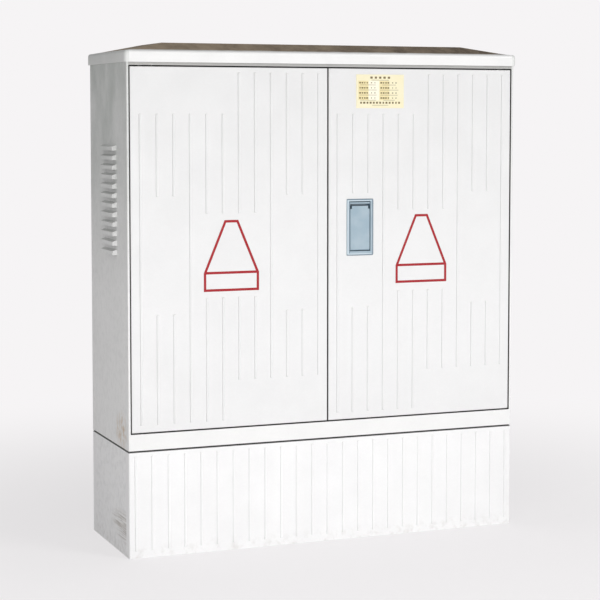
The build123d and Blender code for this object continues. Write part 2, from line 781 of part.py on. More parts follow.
# Lock housing: bezel over the door skin, pocket for handle and button, and the shaft that the cam turns on
bezel_y = front_y - bezel_proud
lock_back = front_y + lock_depth
pocket_y = lock_back - pocket_back
handle_axis_z = pocket_low + handle_foot_gap + handle_sheet / 2
handle_front = bezel_y + face_recess
handle_axis_y = handle_front + handle_sheet / 2
cam_front = rod_back + running_gap
with BuildPart() as lock_housing:
    with BuildSketch(Plane.XZ.offset(-front_y)):
        with Locations((lock_x, lock_z)):
            RectangleRounded(lock_width, lock_height, lock_corner)
    extrude(amount=bezel_proud)
    chamfer(lock_housing.faces().sort_by(Axis.Y)[0].edges(), length=bezel_proud / 2)
    with BuildSketch(Plane.XZ.offset(-front_y)):
        with Locations((lock_x, pocket_mid)):
            Rectangle(pocket_width + 2 * lock_wall, pocket_height + 2 * lock_wall)
    extrude(amount=-lock_depth)
    with BuildSketch(Plane.XZ.offset(-bezel_y)):
        with Locations((lock_x, pocket_mid)):
            Rectangle(pocket_width, pocket_height)
    extrude(amount=bezel_y - pocket_y, mode=Mode.SUBTRACT)
    with BuildSketch(Plane.YZ.offset(lock_x)):
        with Locations((handle_axis_y, handle_axis_z)):
            Circle(trunnion_radius + pivot_gap)
    extrude(amount=pocket_width / 2 + lock_wall, both=True, mode=Mode.SUBTRACT)
    with BuildSketch(Plane.XZ.offset(-lock_back)):
        with Locations((lock_x, lock_z)):
            Circle(cam_shaft_radius)
    extrude(amount=-(cam_front + cam_sheet + cam_shaft_tail - lock_back))
lock_housing.part.label = "lock_housing"
export_step(lock_housing.part, "parts/lock_housing.step")

# Flap handle: plate with a narrower lip for the fingers, hinged on trunnions at its rounded foot
handle_low = pocket_low + handle_foot_gap
handle_width = pocket_width - 2 * handle_side_gap
handle_high = pocket_high - button_top_gap - button_height - finger_gap - handle_lip
with BuildPart() as lock_handle:
    with BuildSketch(Plane.XZ.offset(-handle_front)):
        with Locations((lock_x, handle_low)):
            Rectangle(handle_width, handle_high - handle_low, align=(Align.CENTER, Align.MIN))
        with Locations((lock_x, handle_high)):
            Rectangle(handle_width - 2 * handle_lip_inset, handle_lip, align=(Align.CENTER, Align.MIN))
    extrude(amount=-handle_sheet)
    foot_edges = lock_handle.edges().filter_by(Axis.X).group_by(Axis.Z)[0]
    fillet(foot_edges, radius=handle_sheet / 2 - close_gap)
    with BuildSketch(Plane.YZ.offset(lock_x)):
        with Locations((handle_axis_y, handle_axis_z)):
            Circle(trunnion_radius)
    extrude(amount=handle_width / 2 + trunnion_length, both=True)
lock_handle.part.label = "lock_handle"
export_step(lock_handle.part, "parts/lock_handle.step")

# Push-button bar across the top of the pocket
with BuildPart() as lock_button:
    with BuildSketch(Plane.XZ.offset(-handle_front)):
        with Locations((lock_x, pocket_high - button_top_gap)):
            Rectangle(pocket_width - 2 * running_gap, button_height, align=(Align.CENTER, Align.MAX))
    extrude(amount=-button_depth)
    chamfer(lock_button.faces().sort_by(Axis.Y)[0].edges(), length=button_chamfer)
lock_button.part.label = "lock_button"
export_step(lock_button.part, "parts/lock_button.step")

# Cam on the housing's shaft, with a pin in the eye of each rod
with BuildPart() as lock_cam:
    with BuildSketch(Plane.XZ.offset(-cam_front)):
        with Locations((lock_x, lock_z)):
            SlotCenterToCenter(2 * cam_radius, cam_width)
            Circle(cam_shaft_radius + pivot_gap, mode=Mode.SUBTRACT)
    extrude(amount=-cam_sheet)
    with BuildSketch(Plane.XZ.offset(-cam_front)):
        with Locations((lock_x - cam_radius, lock_z), (lock_x + cam_radius, lock_z)):
            Circle(cam_pin_radius)
    extrude(amount=rod_sheet + running_gap)
lock_cam.part.label = "lock_cam"
export_step(lock_cam.part, "parts/lock_cam.step")

# Lock rods: flat bars with a slotted eye at the cam, one up and one down
rod_slot_length = 2 * (cam_pin_radius + slot_side_play)
rod_slot_height = 2 * (cam_pin_radius + slot_end_play)
for rod_name, rod_tip, upward in (("upper_lock_rod", door_top, 1), ("lower_lock_rod", door_base, -1)):
    eye_x = lock_x + upward * rod_eye_offset
    with BuildPart() as lock_rod:
        with BuildSketch(Plane.XZ.offset(-rod_front)):
            with Locations((eye_x, lock_z)):
                Rectangle(rod_slot_length + 2 * rod_eye_wall, rod_slot_height + 2 * rod_eye_wall)
            rod_length = abs(rod_tip - lock_z) - rod_tip_gap
            with Locations((eye_x, lock_z + upward * rod_length / 2)):
                Rectangle(rod_width, rod_length)
            with Locations((eye_x, lock_z)):
                Rectangle(rod_slot_length, rod_slot_height, mode=Mode.SUBTRACT)
        extrude(amount=-rod_sheet)
    lock_rod.part.label = rod_name
    export_step(lock_rod.part, f"parts/{rod_name}.step")

# Mounting plate: sheet with folded edges, on posts from the rear panel
plate_height = plate_top - plate_base
plate_mid = (plate_base + plate_top) / 2
with BuildPart() as mounting_plate:
    with BuildSketch(Plane.XZ.offset(-plate_y)):
        with Locations((0, plate_mid)):
            Rectangle(plate_width, plate_height)
    extrude(amount=-(plate_sheet + plate_fold))
    with BuildSketch(Plane.XZ.offset(-plate_y - plate_sheet)):
        with Locations((0, plate_mid)):
            Rectangle(plate_width - 2 * plate_sheet, plate_height - 2 * plate_sheet)
    extrude(amount=-plate_fold, mode=Mode.SUBTRACT)
mounting_plate.part.label = "mounting_plate"
export_step(mounting_plate.part, "parts/mounting_plate.step")

with BuildPart() as plate_posts:
    with BuildSketch(Plane.XZ.offset(-plate_y - plate_sheet)):
        with Locations((0, plate_mid)):
            with GridLocations(plate_width - 2 * plate_post_inset, plate_height - 2 * plate_post_inset, 2, 2):
                RegularPolygon(plate_post_radius, hexagon_side_count)
    extrude(amount=-plate_standoff)
plate_posts.part.label = "plate_posts"
export_step(plate_posts.part, "parts/plate_posts.step")

# Busbars: three flat copper bars, each a step higher and further forward than the one below
bar_fronts = [plate_y - bar_standoff - bar_sheet - step * bar_step_out for step in range(pole_count)]
bar_lows = [bar_base + step * bar_step_up for step in range(pole_count)]
for step in range(pole_count):
    with BuildPart() as busbar:
        with BuildSketch(Plane.XZ.offset(-bar_fronts[step])):
            with Locations((0, bar_lows[step])):
                Rectangle(bar_length, bar_width, align=(Align.CENTER, Align.MIN))
        extrude(amount=-bar_sheet)
    busbar.part.label = f"busbar_{step + 1}"
    export_step(busbar.part, f"parts/busbar_{step + 1}.step")

# Stepped supports of insulating moulding compound behind the bars
with BuildPart() as busbar_supports:
    for side in (-1, 1):
        support_x = side * (bar_length / 2 - support_inset)
        with BuildSketch(Plane.YZ.offset(support_x - support_width / 2)):
            with Locations((plate_y, bar_lows[0] - support_foot)):
                support_height = bar_lows[-1] - bar_lows[0] + bar_width + 2 * support_foot
                Rectangle(bar_standoff, support_height, align=(Align.MAX, Align.MIN))
            for step in range(1, pole_count):
                with Locations((plate_y - bar_standoff, bar_lows[step] - support_foot)):
                    step_height = bar_lows[-1] - bar_lows[step] + bar_width + 2 * support_foot
                    Rectangle(step * bar_step_out, step_height, align=(Align.MAX, Align.MIN))
        extrude(amount=support_width)
busbar_supports.part.label = "busbar_supports"
export_step(busbar_supports.part, "parts/busbar_supports.step")


# Breakers: moulded cases with stepped shoulders, terminal pockets, and a raised nose for the toggle
def breaker_case(centre_x, base_z, width, height, depth):
    """A three-pole breaker case standing on the mounting plate."""
    top_z = base_z + height
    mid_z = base_z + height / 2
    face_y = plate_y - depth
    with BuildPart() as case:
        with BuildSketch(Plane.YZ.offset(centre_x - width / 2)):
            with Locations((plate_y, mid_z)):
                Rectangle(shoulder_depth, height, align=(Align.MAX, Align.CENTER))
                Rectangle(depth, height - 2 * shoulder_height, align=(Align.MAX, Align.CENTER))
        extrude(amount=width)
        pole_pitch = width / pole_count
        with BuildSketch(Plane.XZ.offset(-terminal_y)):
            for pocket_z in (base_z + terminal_pocket / 2, top_z - terminal_pocket / 2):
                with Locations((centre_x, pocket_z)):
                    with GridLocations(pole_pitch, height, pole_count, 1):
                        Rectangle((1 - pole_barrier_share) * pole_pitch, terminal_pocket)
        extrude(amount=depth, mode=Mode.SUBTRACT)
        with BuildSketch(Plane.XZ.offset(-face_y)):
            with Locations((centre_x, mid_z)):
                Rectangle(nose_width_share * width, nose_height_share * height)
        extrude(amount=nose_proud, taper=rib_draft)
        with BuildSketch(Plane.XZ.offset(nose_proud - face_y)):
            with Locations((centre_x, mid_z)):
                Rectangle(
                    toggle_width + 2 * toggle_side_gap,
                    2 * (toggle_hub_radius + toggle_side_gap),
                )
        slot_depth = nose_proud + toggle_hub_setback + toggle_hub_radius + toggle_side_gap
        extrude(amount=-slot_depth, mode=Mode.SUBTRACT)
    return case.part


def breaker_toggle(centre_x, mid_z, depth):
    """A toggle tipped up to its on position: a drum in the case's slot, and a lever."""
    axis_y = plate_y - depth + toggle_hub_setback
    lever_dir = (0, -cos(radians(toggle_tilt)), sin(radians(toggle_tilt)))
    with BuildPart() as toggle:
        with BuildSketch(Plane(origin=(centre_x, axis_y, mid_z), x_dir=lever_dir, z_dir=(1, 0, 0))):
            Circle(toggle_hub_radius)
            Rectangle(toggle_lever, toggle_lever_sheet, align=(Align.MIN, Align.CENTER))
        extrude(amount=toggle_width / 2, both=True)
    return toggle.part


main_case = breaker_case(main_centre, main_base, main_width, main_height, main_depth)
main_case.label = "main_breaker_case"
export_step(main_case, "parts/main_breaker_case.step")

main_toggle = breaker_toggle(main_centre, main_base + main_height / 2, main_depth)
main_toggle.label = "main_breaker_toggle"
export_step(main_toggle, "parts/main_breaker_toggle.step")

branch_centres = [branch_first + step * branch_pitch for step in range(branch_count)]
for number, branch_x in enumerate(branch_centres, start=1):
    branch_case = breaker_case(branch_x, branch_base, branch_width, branch_height, branch_depth)
    branch_case.label = f"branch_breaker_case_{number}"
    export_step(branch_case, f"parts/branch_breaker_case_{number}.step")

    branch_toggle = breaker_toggle(branch_x, branch_base + branch_height / 2, branch_depth)
    branch_toggle.label = f"branch_breaker_toggle_{number}"
    export_step(branch_toggle, f"parts/branch_breaker_toggle_{number}.step")

# Droppers: copper straps from the face of each busbar down into a pocket of every breaker
jog_z = bar_base - dropper_jog_drop
main_pocket_z = main_base + main_height - terminal_pocket + dropper_end_gap
branch_pocket_z = branch_base + branch_height - terminal_pocket + dropper_end_gap
for step in range(pole_count):
    bar_y = bar_fronts[step]
    pole = (pole_count - 1) / 2 - step
    dropper_ends = [(main_centre + pole * main_pole_pitch, main_pocket_z)]
    dropper_ends += [(x + pole * branch_pole_pitch, branch_pocket_z) for x in branch_centres]
    with BuildPart() as droppers:
        for dropper_x, dropper_end in dropper_ends:
            with BuildSketch(Plane.YZ.offset(dropper_x - dropper_width / 2)):
                with Locations((bar_y, jog_z)):
                    Rectangle(
                        dropper_sheet,
                        bar_lows[step] + bar_width - jog_z,
                        align=(Align.MAX, Align.MIN),
                    )
                with Locations((bar_y - dropper_sheet, jog_z)):
                    Rectangle(
                        terminal_y - bar_y + dropper_sheet,
                        dropper_sheet,
                        align=(Align.MIN, Align.MIN),
                    )
                with Locations((terminal_y, dropper_end)):
                    Rectangle(
                        dropper_sheet,
                        jog_z + dropper_sheet - dropper_end,
                        align=(Align.MAX, Align.MIN),
                    )
            extrude(amount=dropper_width)
    droppers.part.label = f"phase_{step + 1}_droppers"
    export_step(droppers.part, f"parts/phase_{step + 1}_droppers.step")

# Neutral bar on ribbed hexagonal insulators, and earth bar on hexagonal spacers, below the branch breakers
low_bar_centre = branch_first + branch_span / 2
low_bar_length = branch_span + 2 * bar_overhang
low_bar_room = branch_base - plate_base
neutral_z = plate_base + neutral_room_share * low_bar_room + bar_width / 2
earth_z = plate_base + earth_room_share * low_bar_room + bar_width / 2
low_bars = (("neutral_bar", neutral_z, neutral_standoff), ("earth_bar", earth_z, earth_standoff))
for low_bar_name, low_bar_z, low_bar_standoff in low_bars:
    with BuildPart() as low_bar:
        with BuildSketch(Plane.XZ.offset(low_bar_standoff - plate_y)):
            with Locations((low_bar_centre, low_bar_z)):
                Rectangle(low_bar_length, bar_width)
        extrude(amount=bar_sheet)
    low_bar.part.label = low_bar_name
    export_step(low_bar.part, f"parts/{low_bar_name}.step")

bar_foot_step = low_bar_length - 2 * bar_end_inset
with BuildPart() as neutral_insulators:
    with BuildSketch(Plane.XZ.offset(-plate_y)):
        with Locations((low_bar_centre, neutral_z)):
            with GridLocations(bar_foot_step, bar_width, 2, 1):
                RegularPolygon(insulator_waist, hexagon_side_count)
    extrude(amount=neutral_standoff)
    for rib_y in (plate_y - insulator_rib, plate_y - neutral_standoff + 2 * insulator_rib):
        with BuildSketch(Plane.XZ.offset(-rib_y)):
            with Locations((low_bar_centre, neutral_z)):
                with GridLocations(bar_foot_step, bar_width, 2, 1):
                    RegularPolygon(insulator_radius, hexagon_side_count)
        extrude(amount=insulator_rib)
neutral_insulators.part.label = "neutral_insulators"
export_step(neutral_insulators.part, "parts/neutral_insulators.step")

with BuildPart() as earth_spacers:
    with BuildSketch(Plane.XZ.offset(-plate_y)):
        with Locations((low_bar_centre, earth_z)):
            with GridLocations(bar_foot_step, bar_width, 2, 1):
                RegularPolygon(earth_spacer_radius, hexagon_side_count)
    extrude(amount=earth_standoff)
earth_spacers.part.label = "earth_spacers"
export_step(earth_spacers.part, "parts/earth_spacers.step")

# Clear guard over the busbars, on four pillars
guard_base = bar_base - guard_foot_reach
guard_height = plate_top - guard_head_room - guard_base
guard_mid = guard_base + guard_height / 2
guard_width = plate_width - 2 * guard_side_room
guard_back = plate_y - guard_standoff
pillar_step_x = guard_width - 2 * guard_pillar_inset
pillar_step_z = guard_height - 2 * guard_pillar_inset
with BuildPart() as busbar_guard:
    with BuildSketch(Plane.XZ.offset(-guard_back)):
        with Locations((0, guard_mid)):
            Rectangle(guard_width, guard_height)
    extrude(amount=guard_sheet)
busbar_guard.part.label = "busbar_guard"
export_step(busbar_guard.part, "parts/busbar_guard.step")

with BuildPart() as guard_pillars:
    with BuildSketch(Plane.XZ.offset(-plate_y)):
        with Locations((0, guard_mid)):
            with GridLocations(pillar_step_x, pillar_step_z, 2, 2):
                RegularPolygon(guard_pillar_radius, hexagon_side_count)
    extrude(amount=guard_standoff)
guard_pillars.part.label = "guard_pillars"
export_step(guard_pillars.part, "parts/guard_pillars.step")

# Cable rail: an open channel between the side panels, with end plates that bolt to them
cable_rail_base = body_base + cable_rail_low
cable_rail_mid = cable_rail_base + cable_rail_height / 2
with BuildPart() as cable_rail:
    with BuildSketch(Plane.YZ.offset(-inner_x)):
        with Locations((cable_rail_y, cable_rail_base)):
            Rectangle(cable_rail_depth, cable_rail_height, align=(Align.MIN, Align.MIN))
        with Locations((cable_rail_y + cable_rail_sheet, cable_rail_base + cable_rail_sheet)):
            Rectangle(
                cable_rail_depth - 2 * cable_rail_sheet,
                cable_rail_height - 2 * cable_rail_sheet,
                align=(Align.MIN, Align.MIN),
                mode=Mode.SUBTRACT,
            )
        with Locations((cable_rail_y, cable_rail_mid)):
            Rectangle(cable_rail_sheet, cable_rail_mouth, align=(Align.MIN, Align.CENTER), mode=Mode.SUBTRACT)
    extrude(amount=2 * inner_x)
    for end in (-1, 1):
        with BuildSketch(Plane.YZ.offset(end * inner_x)):
            with Locations((cable_rail_y + cable_rail_depth / 2, cable_rail_mid)):
                Rectangle(rail_end_plate, rail_end_plate)
        extrude(amount=-end * cable_rail_sheet)
cable_rail.part.label = "cable_rail"
export_step(cable_rail.part, "parts/cable_rail.step")

# Cable clamps: arched saddles bolted to the rail's face
with BuildPart() as cable_clamps:
    with BuildSketch(Plane.XY.offset(cable_rail_mid - clamp_height / 2)):
        with Locations((0, cable_rail_y)):
            with GridLocations(clamp_pitch, body_depth, clamp_count, 1):
                Circle(clamp_radius + clamp_sheet)
                Rectangle(2 * (clamp_radius + clamp_foot), clamp_sheet, align=(Align.CENTER, Align.MAX))
                Circle(clamp_radius, mode=Mode.SUBTRACT)
                Rectangle(
                    2 * (clamp_radius + clamp_foot),
                    clamp_radius + clamp_foot,
                    align=(Align.CENTER, Align.MIN),
                    mode=Mode.SUBTRACT,
                )
    extrude(amount=clamp_height)
cable_clamps.part.label = "cable_clamps"
export_step(cable_clamps.part, "parts/cable_clamps.step")
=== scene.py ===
import math

import bmesh
import bpy
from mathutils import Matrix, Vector


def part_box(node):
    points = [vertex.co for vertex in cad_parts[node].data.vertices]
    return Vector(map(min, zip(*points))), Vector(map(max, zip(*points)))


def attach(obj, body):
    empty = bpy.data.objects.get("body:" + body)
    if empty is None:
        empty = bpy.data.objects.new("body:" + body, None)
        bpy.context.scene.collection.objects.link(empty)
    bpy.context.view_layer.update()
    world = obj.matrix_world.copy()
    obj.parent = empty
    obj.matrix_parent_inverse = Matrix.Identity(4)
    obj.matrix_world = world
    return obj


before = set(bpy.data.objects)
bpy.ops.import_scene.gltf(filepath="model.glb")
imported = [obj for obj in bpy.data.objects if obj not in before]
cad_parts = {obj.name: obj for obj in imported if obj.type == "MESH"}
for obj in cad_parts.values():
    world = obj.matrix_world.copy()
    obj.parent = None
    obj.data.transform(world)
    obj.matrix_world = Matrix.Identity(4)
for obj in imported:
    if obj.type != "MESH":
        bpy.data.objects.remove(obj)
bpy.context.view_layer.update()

MM = 0.001


# Plinth: four panels of glass-fibre polyester, hot-pressed in steel moulds and bolted together at the corners.
# The ribs and turned corners are part of the moulding. Splashed soil from the ground clings to the lowest edge.
def linear(hex_colour):
    """An sRGB hex colour as linear red, green, blue and alpha."""
    channels = [int(hex_colour[place:place + 2], 16) / 255 for place in (1, 3, 5)]
    return [c / 12.92 if c <= 0.04045 else ((c + 0.055) / 1.055) ** 2.4 for c in channels] + [1.0]


def wire(tree, kind, inputs=None, **settings):
    """Adds a node, sets its properties and fills the named inputs. A socket, or a node's first output, is linked."""
    added = tree.nodes.new(kind)
    for name, value in settings.items():
        setattr(added, name, value)
    for name, value in (inputs or {}).items():
        if isinstance(value, bpy.types.Node):
            value = value.outputs[0]
        if isinstance(value, bpy.types.NodeSocket):
            tree.links.new(value, added.inputs[name])
        else:
            added.inputs[name].default_value = value
    return added


def blank_finish(name):
    """A new material with an empty node tree, and the tree's object coordinates in metres."""
    material = bpy.data.materials.new(name)
    material.use_nodes = True
    tree = material.node_tree
    tree.nodes.clear()
    place = wire(tree, "ShaderNodeTexCoord").outputs["Object"]
    return material, tree, place


def dress(material, *node_names):
    """Gives these CAD nodes the finish."""
    for node_name in node_names:
        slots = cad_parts[node_name].data.materials
        slots.clear()
        slots.append(material)


def moulded_polyester(name, colour, soils_and_shades=()):
    """Pressed glass-fibre polyester: cloudy off-white with a faint fibre speckle and a satin, slightly wavy skin.
    Each soil or painted shade is a colour and a function that gives its cover, from 0 to 1."""
    material, tree, place = blank_finish(name)
    cloud_size, fibre_size, peel_size, sink_size = 85 * MM, 7 * MM, 2.2 * MM, 130 * MM
    layer_rough = 0.85
    cloud = wire(tree, "ShaderNodeTexNoise", {"Vector": place, "Scale": 1 / cloud_size, "Detail": 4.0})
    fibre = wire(
        tree, "ShaderNodeTexNoise", {"Vector": place, "Scale": 1 / fibre_size, "Detail": 5.0, "Distortion": 1.6}
    )
    cloud_tint = wire(
        tree, "ShaderNodeMapRange",
        {"Value": cloud, "From Min": 0.35, "From Max": 0.7, "To Min": 0.965, "To Max": 1.0},
    )
    fibre_tint = wire(
        tree, "ShaderNodeMapRange",
        {"Value": fibre, "From Min": 0.42, "From Max": 0.62, "To Min": 0.985, "To Max": 1.0},
    )
    tint = wire(tree, "ShaderNodeMath", {0: cloud_tint, 1: fibre_tint}, operation="MULTIPLY")
    skin = wire(tree, "ShaderNodeVectorMath", {0: linear(colour)[:3], "Scale": tint}, operation="SCALE")
    rough = wire(
        tree, "ShaderNodeMapRange", {"Value": cloud, "From Min": 0.3, "From Max": 0.7, "To Min": 0.34, "To Max": 0.48}
    )
    for layer_colour, cover_of in soils_and_shades:
        cover = cover_of(tree, place)
        skin = wire(
            tree, "ShaderNodeMix", {"Factor": cover, 6: skin, 7: linear(layer_colour)}, data_type="RGBA"
        ).outputs[2]
        rough = wire(tree, "ShaderNodeMix", {"Factor": cover, 2: rough, 3: layer_rough}, data_type="FLOAT")
    peel = wire(tree, "ShaderNodeTexNoise", {"Vector": place, "Scale": 1 / peel_size, "Detail": 1.0})
    sink = wire(tree, "ShaderNodeTexNoise", {"Vector": place, "Scale": 1 / sink_size, "Detail": 1.0})
    wavy = wire(tree, "ShaderNodeBump", {"Height": sink, "Strength": 0.5, "Distance": 1.2 * MM})
    skin_bump = wire(
        tree, "ShaderNodeBump", {"Height": peel, "Strength": 0.25, "Distance": 0.12 * MM, "Normal": wavy}
    )
    shader = wire(
        tree, "ShaderNodeBsdfPrincipled", {"Base Color": skin, "Roughness": rough, "IOR": 1.53, "Normal": skin_bump}
    )
    wire(tree, "ShaderNodeOutputMaterial", {"Surface": shader})
    return material


def splash_cover(height, strength):
    """Soil thrown up from the ground: thick at the foot, gone at this height, broken up by noise."""
    blot = 14 * MM

    def cover(tree, place):
        patch = wire(tree, "ShaderNodeTexNoise", {"Vector": place, "Scale": 1 / blot, "Detail": 6.0})
        level = wire(tree, "ShaderNodeSeparateXYZ", {0: place}).outputs["Z"]
        fade = wire(tree, "ShaderNodeMapRange", {"Value": level, "From Max": height, "To Min": 1.0, "To Max": 0.0})
        broken = wire(
            tree, "ShaderNodeMapRange", {"Value": patch, "From Min": 0.48, "From Max": 0.72, "To Max": strength}
        )
        return wire(tree, "ShaderNodeMath", {0: fade, 1: broken}, operation="MULTIPLY")
    return cover


def level_shade_band(level, half_width, strength):
    """Painted shade along a level line: a thin dark band to both sides of it."""
    def cover(tree, place):
        height = wire(tree, "ShaderNodeSeparateXYZ", {0: place}).outputs["Z"]
        away = wire(tree, "ShaderNodeMath", {0: height, 1: level, 2: half_width}, operation="COMPARE")
        return wire(tree, "ShaderNodeMath", {0: away, 1: strength}, operation="MULTIPLY")
    return cover


# Painted shade: a near-black colour laid in the joints, where the gaps fall into shade.
JOINT_SHADE = "#45423E"
SPLASHED_SOIL = "#A39B8F"
gasket_low, gasket_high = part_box("base_gasket")
gasket_mid, gasket_half = (gasket_low[2] + gasket_high[2]) / 2, (gasket_high[2] - gasket_low[2]) / 2
creep = 0.9 * MM
# Painted shade along the gasket joint: a dark band on the plinth's top edge and the body's foot.
gasket_joint_shade = (JOINT_SHADE, level_shade_band(gasket_mid, gasket_half + creep, strength=0.75))
plinth_polyester = moulded_polyester(
    "pressed_polyester_plinth", "#F3F3F3",
    [(SPLASHED_SOIL, splash_cover(height=36 * MM, strength=0.25)), gasket_joint_shade],
)
dress(plinth_polyester, "plinth_front", "plinth_rear", "plinth_right")


# Left plinth panel: the same moulding, dulled by weather and knocks, so that its skin is mottled.
# Something hard has been dragged along its lower front corner: brown scuffs lie level, with pale scratches in them.
def patch_cover(centre, radii, strands, strength):
    """One stain: strongest at its centre, gone at these radii, broken into strands of this size along each axis."""
    def cover(tree, place):
        offset = wire(tree, "ShaderNodeVectorMath", {0: place, 1: centre}, operation="SUBTRACT")
        scaled = wire(tree, "ShaderNodeVectorMath", {0: offset, 1: [1 / r for r in radii]}, operation="MULTIPLY")
        reach = wire(tree, "ShaderNodeVectorMath", {0: scaled}, operation="LENGTH")
        fade = wire(
            tree, "ShaderNodeMapRange",
            {"Value": reach.outputs["Value"], "From Min": 0.3, "From Max": 1.0, "To Min": 1.0, "To Max": 0.0},
        )
        drawn_out = wire(tree, "ShaderNodeMapping", {"Vector": place, "Scale": [1 / s for s in strands]})
        break_up = wire(
            tree, "ShaderNodeTexNoise", {"Vector": drawn_out, "Scale": 1.0, "Detail": 6.0, "Roughness": 0.6}
        )
        strand = wire(
            tree, "ShaderNodeMapRange", {"Value": break_up, "From Min": 0.42, "From Max": 0.62, "To Max": strength}
        )
        return wire(tree, "ShaderNodeMath", {0: fade, 1: strand}, operation="MULTIPLY")
    return cover


def mottle_cover(size, strength):
    """Weathering all over a face: small clouds of this size, where the resin has gone dull."""
    def cover(tree, place):
        cloud = wire(
            tree, "ShaderNodeTexNoise", {"Vector": place, "Scale": 1 / size, "Detail": 8.0, "Roughness": 0.7}
        )
        return wire(
            tree, "ShaderNodeMapRange", {"Value": cloud, "From Min": 0.45, "From Max": 0.68, "To Max": strength}
        )
    return cover


DULL_RESIN = "#A9ABAB"
brown_scuffs = patch_cover(
    centre=(-0.5, -0.115, 0.066), radii=(0.2, 0.115, 0.044), strands=(0.05, 0.11, 0.0045), strength=0.8
)
pale_scratches = patch_cover(
    centre=(-0.5, -0.11, 0.075), radii=(0.2, 0.1, 0.035), strands=(0.08, 0.13, 0.003), strength=0.6
)
left_plinth_polyester = moulded_polyester(
    "pressed_polyester_plinth_stained", "#F6F6F6",
    [
        (DULL_RESIN, mottle_cover(size=16 * MM, strength=0.22)),
        (SPLASHED_SOIL, splash_cover(height=60 * MM, strength=0.3)),
        ("#6C5B45", brown_scuffs), ("#F2F0EC", pale_scratches), gasket_joint_shade,
    ],
)
dress(left_plinth_polyester, "plinth_left")


# Corner posts: folded 3 mm steel angles with a welded foot plate, hot-dip galvanised after welding.
# The zinc freezes in crystals some millimetres across, each a slightly different grey.
def galvanised_steel(name, colour, crystal):
    """Zinc-coated steel with a spangle of this size in metres."""
    material, tree, place = blank_finish(name)
    spangle = wire(tree, "ShaderNodeTexVoronoi", {"Vector": place, "Scale": 1 / crystal})
    shade = wire(tree, "ShaderNodeRGBToBW", {0: spangle.outputs["Color"]})
    value = wire(tree, "ShaderNodeMapRange", {"Value": shade, "To Min": 0.78, "To Max": 1.06})
    zinc = wire(tree, "ShaderNodeVectorMath", {0: linear(colour)[:3], "Scale": value}, operation="SCALE")
    rough = wire(tree, "ShaderNodeMapRange", {"Value": shade, "To Min": 0.34, "To Max": 0.55})
    shader = wire(tree, "ShaderNodeBsdfPrincipled", {"Base Color": zinc, "Metallic": 1.0, "Roughness": rough})
    wire(tree, "ShaderNodeOutputMaterial", {"Surface": shader})
    return material


hot_dip_zinc = galvanised_steel("hot_dip_galvanised_steel", "#B9BDBE", 9 * MM)
dress(hot_dip_zinc, "plinth_posts")


# Gasket: a flat ring of black EPDM rubber, cut from sheet and squeezed between plinth and body.
# Old rubber is matt, and dust greys it in patches.
def clouded_finish(name, tones, cloud, detail, roughness, ior, relief=None):
    """A material in two close tones that noise of this size clouds, as dust, touch or an uneven film does.
    A relief is its grain's size, detail, strength and depth."""
    material, tree, place = blank_finish(name)
    dark, pale = tones
    mottle = wire(tree, "ShaderNodeTexNoise", {"Vector": place, "Scale": 1 / cloud, "Detail": detail})
    tint = wire(tree, "ShaderNodeMix", {"Factor": mottle, 6: linear(dark), 7: linear(pale)}, data_type="RGBA")
    surface = {"Base Color": tint.outputs[2], "Roughness": roughness, "IOR": ior}
    if relief:
        grain_size, grain_detail, strength, depth = relief
        grain = wire(tree, "ShaderNodeTexNoise", {"Vector": place, "Scale": 1 / grain_size, "Detail": grain_detail})
        surface["Normal"] = wire(tree, "ShaderNodeBump", {"Height": grain, "Strength": strength, "Distance": depth})
    shader = wire(tree, "ShaderNodeBsdfPrincipled", surface)
    wire(tree, "ShaderNodeOutputMaterial", {"Surface": shader})
    return material


epdm_rubber = clouded_finish(
    "epdm_rubber", ("#1B1B1C", "#3A3937"), cloud=14 * MM, detail=4.0, roughness=0.78, ior=1.5,
    relief=(0.8 * MM, 2.0, 0.3, 0.1 * MM),
)
dress(epdm_rubber, "base_gasket")


# Body shell: side panels with pressed louvres, rear panel and sill rail, all pressed polyester and bolted together.
# Rain has left grey-green smears on sides and back, most on the left side, which also has yellow specks at its
# lower front corner. Painted shade lies black on the frame in the joint round the doors and along the gasket.
def inset_from(tree, place, low, high):
    """How far a point lies inside a box, each as X, Y and Z: from its low corner, its high one and the nearer one."""
    from_low = wire(tree, "ShaderNodeVectorMath", {0: place, 1: low}, operation="SUBTRACT")
    from_high = wire(tree, "ShaderNodeVectorMath", {0: high, 1: place}, operation="SUBTRACT")
    nearer = wire(tree, "ShaderNodeVectorMath", {0: from_low, 1: from_high}, operation="MINIMUM")
    return [wire(tree, "ShaderNodeSeparateXYZ", {0: inset}).outputs for inset in (from_low, from_high, nearer)]


def joint_shade_cover(low, high, start, end, strength):
    """Painted shade in the joint round a door: on faces within a millimetre of this outline, between two depths."""
    def cover(tree, place):
        nearer = inset_from(tree, place, low, high)[2]
        edge = wire(tree, "ShaderNodeMath", {0: nearer["X"], 1: nearer["Z"]}, operation="MINIMUM")
        away = wire(tree, "ShaderNodeMath", {0: edge}, operation="ABSOLUTE")
        rim = wire(
            tree, "ShaderNodeMapRange",
            {"Value": away, "From Min": 0.5 * MM, "From Max": 1.3 * MM, "To Min": strength, "To Max": 0.0},
        )
        depth = wire(tree, "ShaderNodeSeparateXYZ", {0: place}).outputs["Y"]
        behind = wire(tree, "ShaderNodeMapRange", {"Value": depth, "From Min": start, "From Max": start + 1.2 * MM})
        before = wire(tree, "ShaderNodeMath", {0: depth, 1: end}, operation="LESS_THAN")
        rim_behind = wire(tree, "ShaderNodeMath", {0: rim, 1: behind}, operation="MULTIPLY")
        return wire(tree, "ShaderNodeMath", {0: rim_behind, 1: before}, operation="MULTIPLY")
    return cover


